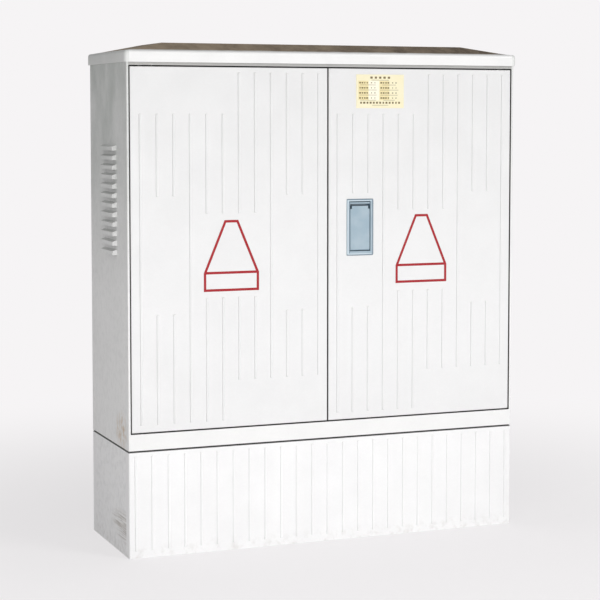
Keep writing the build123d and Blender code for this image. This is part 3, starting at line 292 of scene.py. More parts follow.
POLYESTER_WHITE = "#EFEFEE"
RAIN_SMEAR = "#8A958C"
face_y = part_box("sill_rail")[0][1]
door_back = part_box("left_door")[1][1]
stile_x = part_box("sill_rail")[1][0]
bush_play, unshaded_lip = 0.3 * MM, 0.3 * MM
bush_low, bush_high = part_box("left_door_bushes")
opening_low = (-stile_x, 0.0, bush_low[2] - bush_play)
opening_high = (stile_x, 0.0, bush_high[2] + bush_play)
shade_from = face_y + unshaded_lip
# Painted shade: near-black on the frame's faces in the joint round the doors.
frame_joint_shade = (JOINT_SHADE, joint_shade_cover(opening_low, opening_high, shade_from, door_back, strength=0.9))


def rain_cover(high, low, strength):
    """Grey-green smears of rain on the sides and the back: strongest at the high level, gone at the low one."""
    back_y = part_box("rear_panel")[1][1]
    run_width, run_length = 70 * MM, 160 * MM

    def cover(tree, place):
        run_scale = (1 / run_width, 1 / run_width, 1 / run_length)
        drawn_out = wire(tree, "ShaderNodeMapping", {"Vector": place, "Scale": run_scale})
        runs = wire(tree, "ShaderNodeTexNoise", {"Vector": drawn_out, "Scale": 1.0, "Detail": 5.0})
        along = wire(tree, "ShaderNodeSeparateXYZ", {0: place}).outputs
        fade = wire(tree, "ShaderNodeMapRange", {"Value": along["Z"], "From Min": low, "From Max": high})
        sideways = wire(tree, "ShaderNodeMath", {0: along["X"]}, operation="ABSOLUTE")
        on_side = wire(
            tree, "ShaderNodeMapRange",
            {"Value": sideways, "From Min": stile_x - 1.5 * MM, "From Max": stile_x - 0.5 * MM},
        )
        on_back = wire(
            tree, "ShaderNodeMapRange",
            {"Value": along["Y"], "From Min": back_y - 4 * MM, "From Max": back_y - 3 * MM},
        )
        outside = wire(tree, "ShaderNodeMath", {0: on_side, 1: on_back}, operation="MAXIMUM")
        streak = wire(
            tree, "ShaderNodeMapRange",
            {"Value": runs, "From Min": 0.3, "From Max": 0.68, "To Min": 0.2, "To Max": strength},
        )
        faded = wire(tree, "ShaderNodeMath", {0: fade, 1: streak}, operation="MULTIPLY")
        return wire(tree, "ShaderNodeMath", {0: faded, 1: outside}, operation="MULTIPLY")
    return cover


shell_polyester = moulded_polyester(
    "pressed_polyester_shell", POLYESTER_WHITE,
    [(RAIN_SMEAR, rain_cover(high=1.15, low=0.62, strength=0.3)), gasket_joint_shade, frame_joint_shade],
)
dress(shell_polyester, "body_right", "rear_panel", "sill_rail")
yellow_specks = patch_cover(
    centre=(-0.5, -0.1, 0.29), radii=(0.2, 0.055, 0.055), strands=(0.02, 0.014, 0.016), strength=0.6
)
left_side_polyester = moulded_polyester(
    "pressed_polyester_side_stained", POLYESTER_WHITE,
    [
        (RAIN_SMEAR, rain_cover(high=1.15, low=0.62, strength=0.6)),
        (DULL_RESIN, mottle_cover(size=16 * MM, strength=0.15)),
        ("#C29C62", yellow_specks), gasket_joint_shade, frame_joint_shade,
    ],
)
dress(left_side_polyester, "body_left")

# Head rail: the pressed polyester channel over the doors, bolted between the side panels and to the roof.
# The strip of it under the roof's edge is grey with the overhang's painted shade, and black with painted joint shade.
strip_level, strip_half = (opening_high[2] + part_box("roof")[0][2]) / 2, 6 * MM
# Painted shade: grey on the strip under the roof's overhang, black in the joint over the doors.
rail_overhang_shade = ("#93938F", level_shade_band(strip_level, strip_half, strength=0.75))
rail_joint_shade = ("#161514", joint_shade_cover(opening_low, opening_high, shade_from, door_back, strength=1.0))
head_polyester = moulded_polyester("pressed_polyester_head_rail", POLYESTER_WHITE, [rail_overhang_shade, rail_joint_shade])
dress(head_polyester, "head_rail")

# Bolts between plinth, body and roof: hexagon bolts, electroplated with bright zinc.
# Plated zinc has no spangle, only faint clouding and a tight sheen.
bright_zinc = galvanised_steel("bright_zinc_plate", "#C9CCCD", 2.5 * MM)
dress(bright_zinc, "base_bolts", "roof_bolts")


# Roof: one polyester moulding dropped over the body. Its sloping top has never been washed: years of dust and
# rain have left a taupe-brown film that ends in a ragged line at the rim, while the fascia stays white.
def roof_soil(tree, place):
    """Cover of the film: full over the slopes, ragged at the foot of the hip."""
    slope_rise, tear_size, torn, soft = 18.5 * MM, 30 * MM, 2.4 * MM, 2.0 * MM
    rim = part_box("roof")[1][2] - slope_rise
    ragged = wire(tree, "ShaderNodeTexNoise", {"Vector": place, "Scale": 1 / tear_size, "Detail": 5.0})
    level = wire(tree, "ShaderNodeSeparateXYZ", {0: place}).outputs["Z"]
    raised = wire(tree, "ShaderNodeMath", {0: ragged, 1: torn, 2: level}, operation="MULTIPLY_ADD")
    return wire(
        tree, "ShaderNodeMapRange", {"Value": raised, "From Min": rim, "From Max": rim + soft, "To Max": 0.96}
    )


def roof_streaks(tree, place):
    """Darker runs in the film, drawn out down the slopes and thicker to the right, on top of the film alone."""
    run_width, run_length, thicker_per_metre = 50 * MM, 90 * MM, 0.38
    run_scale = (1 / run_width, 1 / run_length, 1 / run_width)
    stretched = wire(tree, "ShaderNodeMapping", {"Vector": place, "Scale": run_scale})
    runs = wire(tree, "ShaderNodeTexNoise", {"Vector": stretched, "Scale": 1.0, "Detail": 10.0, "Roughness": 0.68})
    film = roof_soil(tree, place)
    across = wire(tree, "ShaderNodeSeparateXYZ", {0: place}).outputs["X"]
    thicker = wire(tree, "ShaderNodeMath", {0: across, 1: thicker_per_metre, 2: runs}, operation="MULTIPLY_ADD")
    patch = wire(tree, "ShaderNodeMapRange", {"Value": thicker, "From Min": 0.3, "From Max": 0.72, "To Max": 0.95})
    return wire(tree, "ShaderNodeMath", {0: film, 1: patch}, operation="MULTIPLY")


def roof_grit(tree, place):
    """Pale grains of sand and lichen, some millimetres across, stuck in the film."""
    grain_size = 8 * MM
    grains = wire(
        tree, "ShaderNodeTexNoise", {"Vector": place, "Scale": 1 / grain_size, "Detail": 6.0, "Roughness": 0.7}
    )
    film = roof_soil(tree, place)
    speck = wire(tree, "ShaderNodeMapRange", {"Value": grains, "From Min": 0.5, "From Max": 0.72, "To Max": 0.55})
    return wire(tree, "ShaderNodeMath", {0: film, 1: speck}, operation="MULTIPLY")


roof_polyester = moulded_polyester(
    "pressed_polyester_roof_soiled", POLYESTER_WHITE,
    [
        ("#98A29A", rain_cover(high=1.18, low=1.12, strength=0.35)),
        ("#95836C", roof_soil), ("#514536", roof_streaks), ("#A8977F", roof_grit),
    ],
)
dress(roof_polyester, "roof")

# Door seals and pivots: EPDM strips on the stops, zinc-plated pivot plates with pins, and black nylon bushes.
# Carbon-black nylon stands up to sunlight. It is slightly waxy, and dust greys it in small clouds.
dress(epdm_rubber, "head_seal", "sill_seal")
dress(bright_zinc, "left_door_pivots", "right_door_pivots")
black_nylon = clouded_finish(
    "carbon_black_nylon", ("#151617", "#34332F"), cloud=4 * MM, detail=3.0, roughness=0.45, ior=1.53
)
dress(black_nylon, "left_door_bushes", "right_door_bushes")


# Doors: two ribbed polyester dishes on concealed pivots, a trace greyer than the shell.
# Painted shade greys their upper half in broad clouds, and painted shade lies black on their edges in the joint round
# them.
def top_shade_cover(high, low, strength):
    """Painted shade that greys the doors toward the top: most at the high level, gone at the low one, uneven in broad
    clouds.
    """
    shade_cloud_size = 160 * MM

    def cover(tree, place):
        level = wire(tree, "ShaderNodeSeparateXYZ", {0: place}).outputs["Z"]
        fade = wire(
            tree, "ShaderNodeMapRange", {"Value": level, "From Min": low, "From Max": high, "To Max": strength}
        )
        shade_cloud = wire(tree, "ShaderNodeTexNoise", {"Vector": place, "Scale": 1 / shade_cloud_size, "Detail": 3.0})
        uneven = wire(
            tree, "ShaderNodeMapRange",
            {"Value": shade_cloud, "From Min": 0.3, "From Max": 0.7, "To Min": 0.75, "To Max": 1.25},
        )
        return wire(tree, "ShaderNodeMath", {0: fade, 1: uneven}, operation="MULTIPLY")
    return cover


edge_from, edge_to = face_y + 0.9 * MM, door_back + 1.0 * MM
# Painted shade: grey fading down from the doors' tops, and black on the door edges in the joint.
door_top_shade = ("#D0D0CF", top_shade_cover(high=1.14, low=0.5, strength=0.27))
for door in ("left_door", "right_door"):
    door_low, door_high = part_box(door)
    door_edge_shade = (JOINT_SHADE, joint_shade_cover(door_low, door_high, edge_from, edge_to, strength=0.9))
    dress(moulded_polyester(f"pressed_polyester_{door}", "#E9E9E9", [door_top_shade, door_edge_shade]), door)


# Flush bolts of the left door and guide blocks of both doors: zinc-plated flat bar and pressed blocks.
# Each block is held to the door by two hexagon screws with washers.
def fastener_tree():
    """Geometry nodes that put a washer and a chamfered hexagon head on every point of a mesh."""
    tree = bpy.data.node_groups.new("washer_and_hexagon_head", "GeometryNodeTree")
    tree.interface.new_socket("Points", in_out="INPUT", socket_type="NodeSocketGeometry")
    for socket_name in ("Head radius", "Head height", "Washer radius", "Washer sheet"):
        tree.interface.new_socket(socket_name, in_out="INPUT", socket_type="NodeSocketFloat")
    tree.interface.new_socket("Turn", in_out="INPUT", socket_type="NodeSocketRotation")
    tree.interface.new_socket("Finish", in_out="INPUT", socket_type="NodeSocketMaterial")
    tree.interface.new_socket("Fasteners", in_out="OUTPUT", socket_type="NodeSocketGeometry")
    sizes = wire(tree, "NodeGroupInput").outputs
    washer = wire(
        tree, "GeometryNodeMeshCylinder",
        {"Vertices": 20, "Radius": sizes["Washer radius"], "Depth": sizes["Washer sheet"]},
    )
    half_washer = wire(tree, "ShaderNodeMath", {0: sizes["Washer sheet"], 1: 0.5}, operation="MULTIPLY")
    washer_lift = wire(tree, "ShaderNodeCombineXYZ", {"Z": half_washer})
    washer_at = wire(tree, "GeometryNodeTransform", {"Geometry": washer, "Translation": washer_lift})
    head_share, chamfer_share, crown_share = 0.82, 0.18, 0.84
    flank = wire(tree, "ShaderNodeMath", {0: sizes["Head height"], 1: head_share}, operation="MULTIPLY")
    crown = wire(tree, "ShaderNodeMath", {0: sizes["Head height"], 1: chamfer_share}, operation="MULTIPLY")
    crown_radius = wire(tree, "ShaderNodeMath", {0: sizes["Head radius"], 1: crown_share}, operation="MULTIPLY")
    head = wire(tree, "GeometryNodeMeshCylinder", {"Vertices": 6, "Radius": sizes["Head radius"], "Depth": flank})
    head_mid = wire(tree, "ShaderNodeMath", {0: flank, 1: 0.5, 2: sizes["Washer sheet"]}, operation="MULTIPLY_ADD")
    head_lift = wire(tree, "ShaderNodeCombineXYZ", {"Z": head_mid})
    head_at = wire(tree, "GeometryNodeTransform", {"Geometry": head, "Translation": head_lift})
    chamfer = wire(
        tree, "GeometryNodeMeshCone",
        {"Vertices": 6, "Radius Top": crown_radius, "Radius Bottom": sizes["Head radius"], "Depth": crown},
    )
    chamfer_base = wire(tree, "ShaderNodeMath", {0: flank, 1: sizes["Washer sheet"]}, operation="ADD")
    chamfer_lift = wire(tree, "ShaderNodeCombineXYZ", {"Z": chamfer_base})
    chamfer_at = wire(tree, "GeometryNodeTransform", {"Geometry": chamfer, "Translation": chamfer_lift})
    one = wire(tree, "GeometryNodeJoinGeometry")
    for piece in (washer_at, head_at, chamfer_at):
        tree.links.new(piece.outputs[0], one.inputs[0])
    spread = wire(
        tree, "GeometryNodeInstanceOnPoints", {"Points": sizes["Points"], "Instance": one, "Rotation": sizes["Turn"]}
    )
    solid = wire(tree, "GeometryNodeRealizeInstances", {0: spread})
    dressed = wire(tree, "GeometryNodeSetMaterial", {"Geometry": solid, "Material": sizes["Finish"]})
    wire(tree, "NodeGroupOutput", {"Fasteners": dressed})
    return tree


def plant(name, points, tree, sizes, body):
    """What a geometry tree puts on these points at these sizes, as one mesh that rides on a body."""
    spots = bpy.data.meshes.new(f"{name}_spots")
    spots.from_pydata(points, [], [])
    holder = bpy.data.objects.new(f"{name}_holder", spots)
    bpy.context.collection.objects.link(holder)
    modifier = holder.modifiers.new(tree.name, "NODES")
    modifier.node_group = tree
    for item in tree.interface.items_tree:
        if item.in_out == "INPUT" and item.name in sizes:
            modifier[item.identifier] = sizes[item.name]
    bpy.context.view_layer.update()
    seen = holder.evaluated_get(bpy.context.evaluated_depsgraph_get())
    mesh = bpy.data.meshes.new_from_object(seen)
    bpy.data.objects.remove(holder)
    planted = bpy.data.objects.new(name, mesh)
    bpy.context.collection.objects.link(planted)
    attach(planted, body)


FASTENERS = fastener_tree()
TOWARDS_FRONT = (math.radians(90), 0.0, 0.0)
TOWARDS_BACK = (math.radians(-90), 0.0, 0.0)


def fasten(name, points, body, head_radius, head_height, turn=TOWARDS_FRONT):
    """Zinc-plated hexagon screws with washers at these points of a body."""
    washer_share, washer_sheet = 1.35, 1.2 * MM
    sizes = {
        "Head radius": head_radius, "Head height": head_height, "Washer radius": washer_share * head_radius,
        "Washer sheet": washer_sheet, "Turn": turn, "Finish": bright_zinc,
    }
    plant(name, points, FASTENERS, sizes, body)


def islands(node_name):
    """Lowest and highest corner of every separate solid in a CAD node, from left to right and bottom to top."""
    copy = bmesh.new()
    copy.from_mesh(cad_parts[node_name].data)
    bmesh.ops.remove_doubles(copy, verts=copy.verts, dist=0.01 * MM)
    boxes, waiting = [], set(copy.verts)
    while waiting:
        group, edge = set(), [waiting.pop()]
        while edge:
            corner = edge.pop()
            group.add(corner)
            for link in corner.link_edges:
                beyond = link.other_vert(corner)
                if beyond in waiting:
                    waiting.discard(beyond)
                    edge.append(beyond)
        low = Vector([min(v.co[axis] for v in group) for axis in range(3)])
        high = Vector([max(v.co[axis] for v in group) for axis in range(3)])
        boxes.append((low, high))
    copy.free()
    return sorted(boxes, key=lambda pair: (round(pair[0].x, 4), round(pair[0].z, 4)))


dress(bright_zinc, "upper_flush_bolt", "lower_flush_bolt", "flush_bolt_guides", "rod_guides")
guide_screw_step = 9.6 * MM
for guides, body in (("flush_bolt_guides", "left_door"), ("rod_guides", "right_door")):
    places = []
    for low, high in islands(guides):
        middle = (low + high) / 2
        places += [(middle.x + side * guide_screw_step, high.y, middle.z) for side in (-1, 1)]
    fasten(f"{guides}_screws", places, body, head_radius=2.6 * MM, head_height=2.0 * MM, turn=TOWARDS_BACK)

# Flush lock: housing, flap handle and push bar, pressure-cast in zinc alloy and lacquered blue-grey.
# The lacquer is a smooth semi-gloss film with fine orange peel, paler where hands rub it.
# A painted highlight makes the bezel paler. Painted shade lies dark along the rim's top, right and bottom,
# at the handle's left edge and on the floor of the recess.
lacquered_zinc, tree, place = blank_finish("lacquered_zinc_casting")
rub_size, peel_size = 35 * MM, 1.2 * MM
handled = wire(tree, "ShaderNodeTexNoise", {"Vector": place, "Scale": 1 / rub_size, "Detail": 4.0})
rub = wire(tree, "ShaderNodeMapRange", {"Value": handled, "From Min": 0.4, "From Max": 0.7})
lacquer = wire(tree, "ShaderNodeMix", {"Factor": rub, 6: linear("#8CA3B1"), 7: linear("#97ABB7")}, data_type="RGBA")
lock_low, lock_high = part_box("lock_housing")
from_low, from_high, nearer = inset_from(tree, place, lock_low, lock_high)
edge = wire(tree, "ShaderNodeMath", {0: nearer["X"], 1: nearer["Z"]}, operation="MINIMUM")
# Painted highlight: the bezel, within 6 mm of the housing's outline, is paler.
bezel = wire(
    tree, "ShaderNodeMapRange",
    {"Value": edge, "From Min": 4.5 * MM, "From Max": 6.0 * MM, "To Min": 0.8, "To Max": 0.0},
)
highlit_lacquer = wire(
    tree, "ShaderNodeMix", {"Factor": bezel, 6: lacquer.outputs[2], 7: linear("#BFCED7")}, data_type="RGBA"
)
# Painted shade: dark along the rim's top, right and bottom, on the floor of the recess and at the handle's left edge.
right_share, handle_shade_strength = 0.55, 0.75
right_edge = wire(tree, "ShaderNodeMath", {0: from_high["X"], 1: right_share}, operation="MULTIPLY")
shaded_edge = wire(tree, "ShaderNodeMath", {0: right_edge, 1: nearer["Z"]}, operation="MINIMUM")
rim_shade = wire(
    tree, "ShaderNodeMapRange",
    {"Value": shaded_edge, "From Min": 1.8 * MM, "From Max": 3.2 * MM, "To Min": 0.85, "To Max": 0.0},
)
recess_shade = wire(
    tree, "ShaderNodeMapRange", {"Value": from_low["Y"], "From Min": 2.5 * MM, "From Max": 3.6 * MM, "To Max": 0.85}
)
handle_left, handle_band, bezel_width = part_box("lock_handle")[0][0], 1.5 * MM, 5.5 * MM
along = wire(tree, "ShaderNodeSeparateXYZ", {0: place}).outputs["X"]
handle_edge = wire(tree, "ShaderNodeMath", {0: along, 1: handle_left, 2: handle_band}, operation="COMPARE")
inside = wire(tree, "ShaderNodeMath", {0: nearer["Z"], 1: bezel_width}, operation="GREATER_THAN")
handle_inside = wire(tree, "ShaderNodeMath", {0: handle_edge, 1: inside}, operation="MULTIPLY")
handle_gap_shade = wire(tree, "ShaderNodeMath", {0: handle_inside, 1: handle_shade_strength}, operation="MULTIPLY")
outer_shade = wire(tree, "ShaderNodeMath", {0: rim_shade, 1: recess_shade}, operation="MAXIMUM")
lock_shade = wire(tree, "ShaderNodeMath", {0: outer_shade, 1: handle_gap_shade}, operation="MAXIMUM")
shaded_lacquer = wire(
    tree, "ShaderNodeMix", {"Factor": lock_shade, 6: highlit_lacquer.outputs[2], 7: linear("#4E6677")}, data_type="RGBA"
)
peel = wire(tree, "ShaderNodeTexNoise", {"Vector": place, "Scale": 1 / peel_size, "Detail": 1.0})
lacquer_bump = wire(tree, "ShaderNodeBump", {"Height": peel, "Strength": 0.2, "Distance": 0.08 * MM})
lacquer_rough = wire(tree, "ShaderNodeMapRange", {"Value": rub, "To Min": 0.36, "To Max": 0.28})
shader = wire(
    tree, "ShaderNodeBsdfPrincipled",
    {"Base Color": shaded_lacquer.outputs[2], "Roughness": lacquer_rough, "IOR": 1.5, "Coat Weight": 0.3,
     "Normal": lacquer_bump},
)
wire(tree, "ShaderNodeOutputMaterial", {"Surface": shader})
dress(lacquered_zinc, "lock_housing", "lock_handle", "lock_button")

# Cam and lock rods behind the door: flat steel bar, punched and electroplated with bright zinc.
# A screw with a washer keeps the cam on the end of its shaft.
dress(bright_zinc, "lock_cam", "upper_lock_rod", "lower_lock_rod")
shaft_end = ((lock_low[0] + lock_high[0]) / 2, lock_high[1], (lock_low[2] + lock_high[2]) / 2)
fasten("cam_screw", [shaft_end], "right_door", head_radius=5.5 * MM, head_height=3.5 * MM, turn=TOWARDS_BACK)

# Mounting plate on four posts: 2 mm zinc-coated sheet, folded at its edges, with screws at the lower posts.
# The upper posts are under the busbar supports.
sheet_zinc = galvanised_steel("zinc_coated_sheet", "#C3C8CA", 14 * MM)
dress(sheet_zinc, "mounting_plate")
dress(bright_zinc, "plate_posts")
plate_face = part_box("mounting_plate")[0][1]
post_places = [((low.x + high.x) / 2, plate_face, (low.z + high.z) / 2) for low, high in islands("plate_posts")]
lower_posts = [spot for spot in post_places if spot[2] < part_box("main_breaker_case")[0][2]]
fasten("plate_screws", lower_posts, "cabinet", head_radius=6.5 * MM, head_height=5 * MM)

# Busbars and droppers: drawn copper bar, cut, punched and bent cold, bolted where they cross.
# Bare copper dulls from bright salmon to brown, darkest in patches that hands have touched.
drawn_copper, tree, place = blank_finish("drawn_copper_bar")
line_length, line_width, tarnish_size = 120 * MM, 1.5 * MM, 40 * MM
line_scale = (1 / line_length, 1 / line_width, 1 / line_width)
drawn = wire(tree, "ShaderNodeMapping", {"Vector": place, "Scale": line_scale})
draw_lines = wire(tree, "ShaderNodeTexNoise", {"Vector": drawn, "Scale": 1.0, "Detail": 3.0})
tarnish = wire(tree, "ShaderNodeTexNoise", {"Vector": place, "Scale": 1 / tarnish_size, "Detail": 5.0})
tarnish_level = wire(tree, "ShaderNodeMapRange", {"Value": tarnish, "From Min": 0.4, "From Max": 0.68})
copper = wire(
    tree, "ShaderNodeMix", {"Factor": tarnish_level, 6: linear("#CB8059"), 7: linear("#8C4E36")}, data_type="RGBA"
)
copper_rough = wire(tree, "ShaderNodeMapRange", {"Value": draw_lines, "To Min": 0.28, "To Max": 0.5})
copper_bump = wire(tree, "ShaderNodeBump", {"Height": draw_lines, "Strength": 0.15, "Distance": 0.05 * MM})
shader = wire(
    tree, "ShaderNodeBsdfPrincipled",
    {"Base Color": copper.outputs[2], "Metallic": 1.0, "Roughness": copper_rough, "Normal": copper_bump},
)
wire(tree, "ShaderNodeOutputMaterial", {"Surface": shader})
phases = (1, 2, 3)
for phase in phases:
    dress(drawn_copper, f"busbar_{phase}", f"phase_{phase}_droppers")

# Busbar supports and insulators: red-brown moulding compound, hot-pressed, hard and slightly glossy.
# Glass filler shows as fine pale flecks.
moulding_compound, tree, place = blank_finish("glass_filled_moulding_compound")
fleck_size = 1.8 * MM
fleck = wire(tree, "ShaderNodeTexNoise", {"Vector": place, "Scale": 1 / fleck_size, "Detail": 3.0})
fleck_level = wire(tree, "ShaderNodeMapRange", {"Value": fleck, "From Min": 0.55, "From Max": 0.75, "To Max": 0.35})
compound = wire(
    tree, "ShaderNodeMix", {"Factor": fleck_level, 6: linear("#6E2418"), 7: linear("#A5604F")}, data_type="RGBA"
)
compound_bump = wire(tree, "ShaderNodeBump", {"Height": fleck, "Strength": 0.15, "Distance": 0.05 * MM})
shader = wire(
    tree, "ShaderNodeBsdfPrincipled",
    {"Base Color": compound.outputs[2], "Roughness": 0.38, "IOR": 1.55, "Normal": compound_bump},
)
wire(tree, "ShaderNodeOutputMaterial", {"Surface": shader})
dress(moulding_compound, "busbar_supports", "neutral_insulators")
strap_sheet = 4 * MM
strap_places, support_places = [], []
support_columns = [(low.x + high.x) / 2 for low, high in islands("busbar_supports")]
for phase in phases:
    bar_low, bar_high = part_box(f"busbar_{phase}")
    bar_mid = (bar_low[2] + bar_high[2]) / 2
    support_places += [(column, bar_low[1], bar_mid) for column in support_columns]
    strap_places += [
        ((low.x + high.x) / 2, bar_low[1] - strap_sheet, bar_mid) for low, high in islands(f"phase_{phase}_droppers")
    ]
fasten("dropper_bolts", strap_places, "cabinet", head_radius=6.5 * MM, head_height=5 * MM)
fasten("support_bolts", support_places, "cabinet", head_radius=6.5 * MM, head_height=5 * MM)

# Breakers: moulded cases of dark grey polyamide with a spark-eroded matt face, and light grey toggles.
# Every pole has a terminal screw at its top, through the dropper, and one at its foot for the outgoing cable.
moulded_case = clouded_finish(
    "grained_polyamide_case", ("#2E3033", "#3C3F42"), cloud=60 * MM, detail=2.0, roughness=0.55, ior=1.53,
    relief=(1.0 * MM, 3.0, 0.4, 0.08 * MM),
)
toggle_plastic = clouded_finish(
    "smooth_polycarbonate_toggle", ("#CFCFCB", "#E2E2DE"), cloud=9 * MM, detail=3.0, roughness=0.3, ior=1.58
)
breakers = ["main_breaker"] + [f"branch_breaker_{number}" for number in (1, 2, 3, 4)]
pole_count, pocket_mid = 3, 15 * MM
strap_face = min(low.y for low, high in islands("phase_1_droppers"))
terminal_face = strap_face + strap_sheet
head_places, foot_places = [], []
for breaker in breakers:
    family, _, number = breaker.partition("_breaker")
    case = f"{family}_breaker_case{number}"
    dress(moulded_case, case)
    dress(toggle_plastic, f"{family}_breaker_toggle{number}")
    case_low, case_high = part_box(case)
    pitch = (case_high[0] - case_low[0]) / pole_count
    for pole in range(pole_count):
        column = case_low[0] + (pole + 0.5) * pitch
        head_places.append((column, strap_face, case_high[2] - pocket_mid))
        foot_places.append((column, terminal_face, case_low[2] + pocket_mid))
fasten("terminal_screws", head_places, "cabinet", head_radius=5.5 * MM, head_height=4 * MM)
fasten("outgoing_screws", foot_places, "cabinet", head_radius=5.5 * MM, head_height=4 * MM)

# Neutral bar on its moulded insulators and earth bar on its turned spacers: drawn copper bar, drilled and tapped.
# Each carries a row of clamping screws for the cables.
dress(drawn_copper, "neutral_bar", "earth_bar")
dress(bright_zinc, "earth_spacers")
screw_count, screw_step = 10, 40 * MM
for bar in ("neutral_bar", "earth_bar"):
    bar_low, bar_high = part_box(bar)
    middle, level = (bar_low[0] + bar_high[0]) / 2, (bar_low[2] + bar_high[2]) / 2
    row = [(middle + (step - (screw_count - 1) / 2) * screw_step, bar_low[1], level) for step in range(screw_count)]
    fasten(f"{bar}_screws", row, "cabinet", head_radius=5.5 * MM, head_height=4 * MM)

# Guard over the busbars: 3 mm clear polycarbonate sheet, cut and drilled, on four pillars, held by hexagon nuts.
# It is all but colourless, with sharp reflections that cleaning has smeared in places.
dress(bright_zinc, "guard_pillars")
clear_sheet, tree, place = blank_finish("clear_polycarbonate_sheet")
smear_size = 50 * MM
smear = wire(tree, "ShaderNodeTexNoise", {"Vector": place, "Scale": 1 / smear_size, "Detail": 4.0})
smear_rough = wire(
    tree, "ShaderNodeMapRange", {"Value": smear, "From Min": 0.4, "From Max": 0.75, "To Min": 0.03, "To Max": 0.12}
)
shader = wire(
    tree, "ShaderNodeBsdfPrincipled",
    {"Base Color": linear("#F4F8FA"), "Roughness": smear_rough, "IOR": 1.58, "Transmission Weight": 1.0},
)
wire(tree, "ShaderNodeOutputMaterial", {"Surface": shader})
dress(clear_sheet, "busbar_guard")
guard_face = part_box("busbar_guard")[0][1]
pillar_places = [((low.x + high.x) / 2, guard_face, (low.z + high.z) / 2) for low, high in islands("guard_pillars")]
fasten("guard_nuts", pillar_places, "cabinet", head_radius=5.5 * MM, head_height=5 * MM)

# Cable rail and saddles: an open channel of zinc-coated steel bolted to the side panels, and pressed saddles on it.
# Each saddle is held by two bolts through its feet.
dress(sheet_zinc, "cable_rail")
dress(bright_zinc, "cable_clamps")
foot_step, foot_sheet = 34 * MM, 4 * MM
saddle_places = []
for low, high in islands("cable_clamps"):
    middle, level = (low.x + high.x) / 2, (low.z + high.z) / 2
    foot_face = high.y - foot_sheet
    saddle_places += [(middle + side * foot_step, foot_face, level) for side in (-1, 1)]
fasten("saddle_bolts", saddle_places, "cabinet", head_radius=5 * MM, head_height=4 * MM)


# Rating plate: thin aluminium sheet, lacquered pale yellow and glued to the right door over the blank field.
# It is bare of words: rows of plain brown bars fill its fields. The lacquer is smooth and has faded in clouds.
def rectangle(left, right, low, high):
    """The corners of an upright rectangle, round from its lower left one."""
    return [(left, low), (right, low), (right, high), (left, high)]


def raised_sheet(name, corners, faces, back, front, finish, body, bevel=0.0):
    """A thin flat piece on a door: faces between these corners, raised from a back to a front plane.
    Where it has a bevel, that is on its front edges."""
    mesh = bmesh.new()
    rear = [mesh.verts.new((x, back, z)) for x, z in corners]
    flat = [mesh.faces.new([rear[number] for number in face]) for face in faces]
    raised = bmesh.ops.extrude_face_region(mesh, geom=flat)
    fronts = [item for item in raised["geom"] if isinstance(item, bmesh.types.BMVert)]
    bmesh.ops.translate(mesh, verts=fronts, vec=(0.0, front - back, 0.0))
    bmesh.ops.recalc_face_normals(mesh, faces=mesh.faces)
    if bevel:
        rim = [edge for edge in mesh.edges if all(vert in fronts for vert in edge.verts)]
        bmesh.ops.bevel(mesh, geom=rim, offset=bevel, segments=2, affect="EDGES", profile=0.5)
    made = bpy.data.meshes.new(name)
    mesh.to_mesh(made)
    mesh.free()
    made.materials.append(finish)
    sheet = bpy.data.objects.new(name, made)
    bpy.context.collection.objects.link(sheet)
    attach(sheet, body)


lacquered_sheet = clouded_finish(
    "yellow_lacquered_aluminium", ("#EFE6BE", "#F3ECD0"), cloud=30 * MM, detail=3.0, roughness=0.35, ior=1.5
)
ground_depth = 2 * MM
door_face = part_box("left_door")[0][1] + ground_depth
plate_left, plate_right, plate_low, plate_high = 73 * MM, 199 * MM, 1050 * MM, 1131 * MM
plate_sheet, plate_bevel = 0.8 * MM, 0.3 * MM
plate_front = door_face - plate_sheet
ONE_FACE = [range(4)]
plate_corners = rectangle(plate_left, plate_right, plate_low, plate_high)
raised_sheet(
    "rating_plate", plate_corners, ONE_FACE, door_face, plate_front, lacquered_sheet, "right_door", plate_bevel
)

# Printed fields on the plate: two bands of darker yellow behind the rows and a cream one between them.
# They are screen-printed lacquer, a few hundredths of a millimetre thick, mottled where the screen clogged.
field_sheet, field_bevel = 0.03 * MM, 0.01 * MM
field_top, field_foot = plate_high - 15 * MM, plate_low + 19 * MM
OCHRE, CREAM = ("#E4D59C", "#EDE0B4"), ("#F4EED6", "#F8F4E4")
FIELDS = (
    ("plate_left_field", 5.5 * MM, 31.5 * MM, OCHRE),
    ("plate_middle_field", 33 * MM, 60 * MM, CREAM),
    ("plate_right_field", 61.5 * MM, 87.5 * MM, OCHRE),
)
print_face = plate_front - field_sheet
for name, start, end, tones in FIELDS:
    field_lacquer = clouded_finish(f"{name}_lacquer", tones, cloud=5 * MM, detail=4.0, roughness=0.4, ior=1.5)
    corners = rectangle(plate_left + start, plate_left + end, field_foot, field_top)
    raised_sheet(name, corners, ONE_FACE, plate_front, print_face, field_lacquer, "right_door", field_bevel)


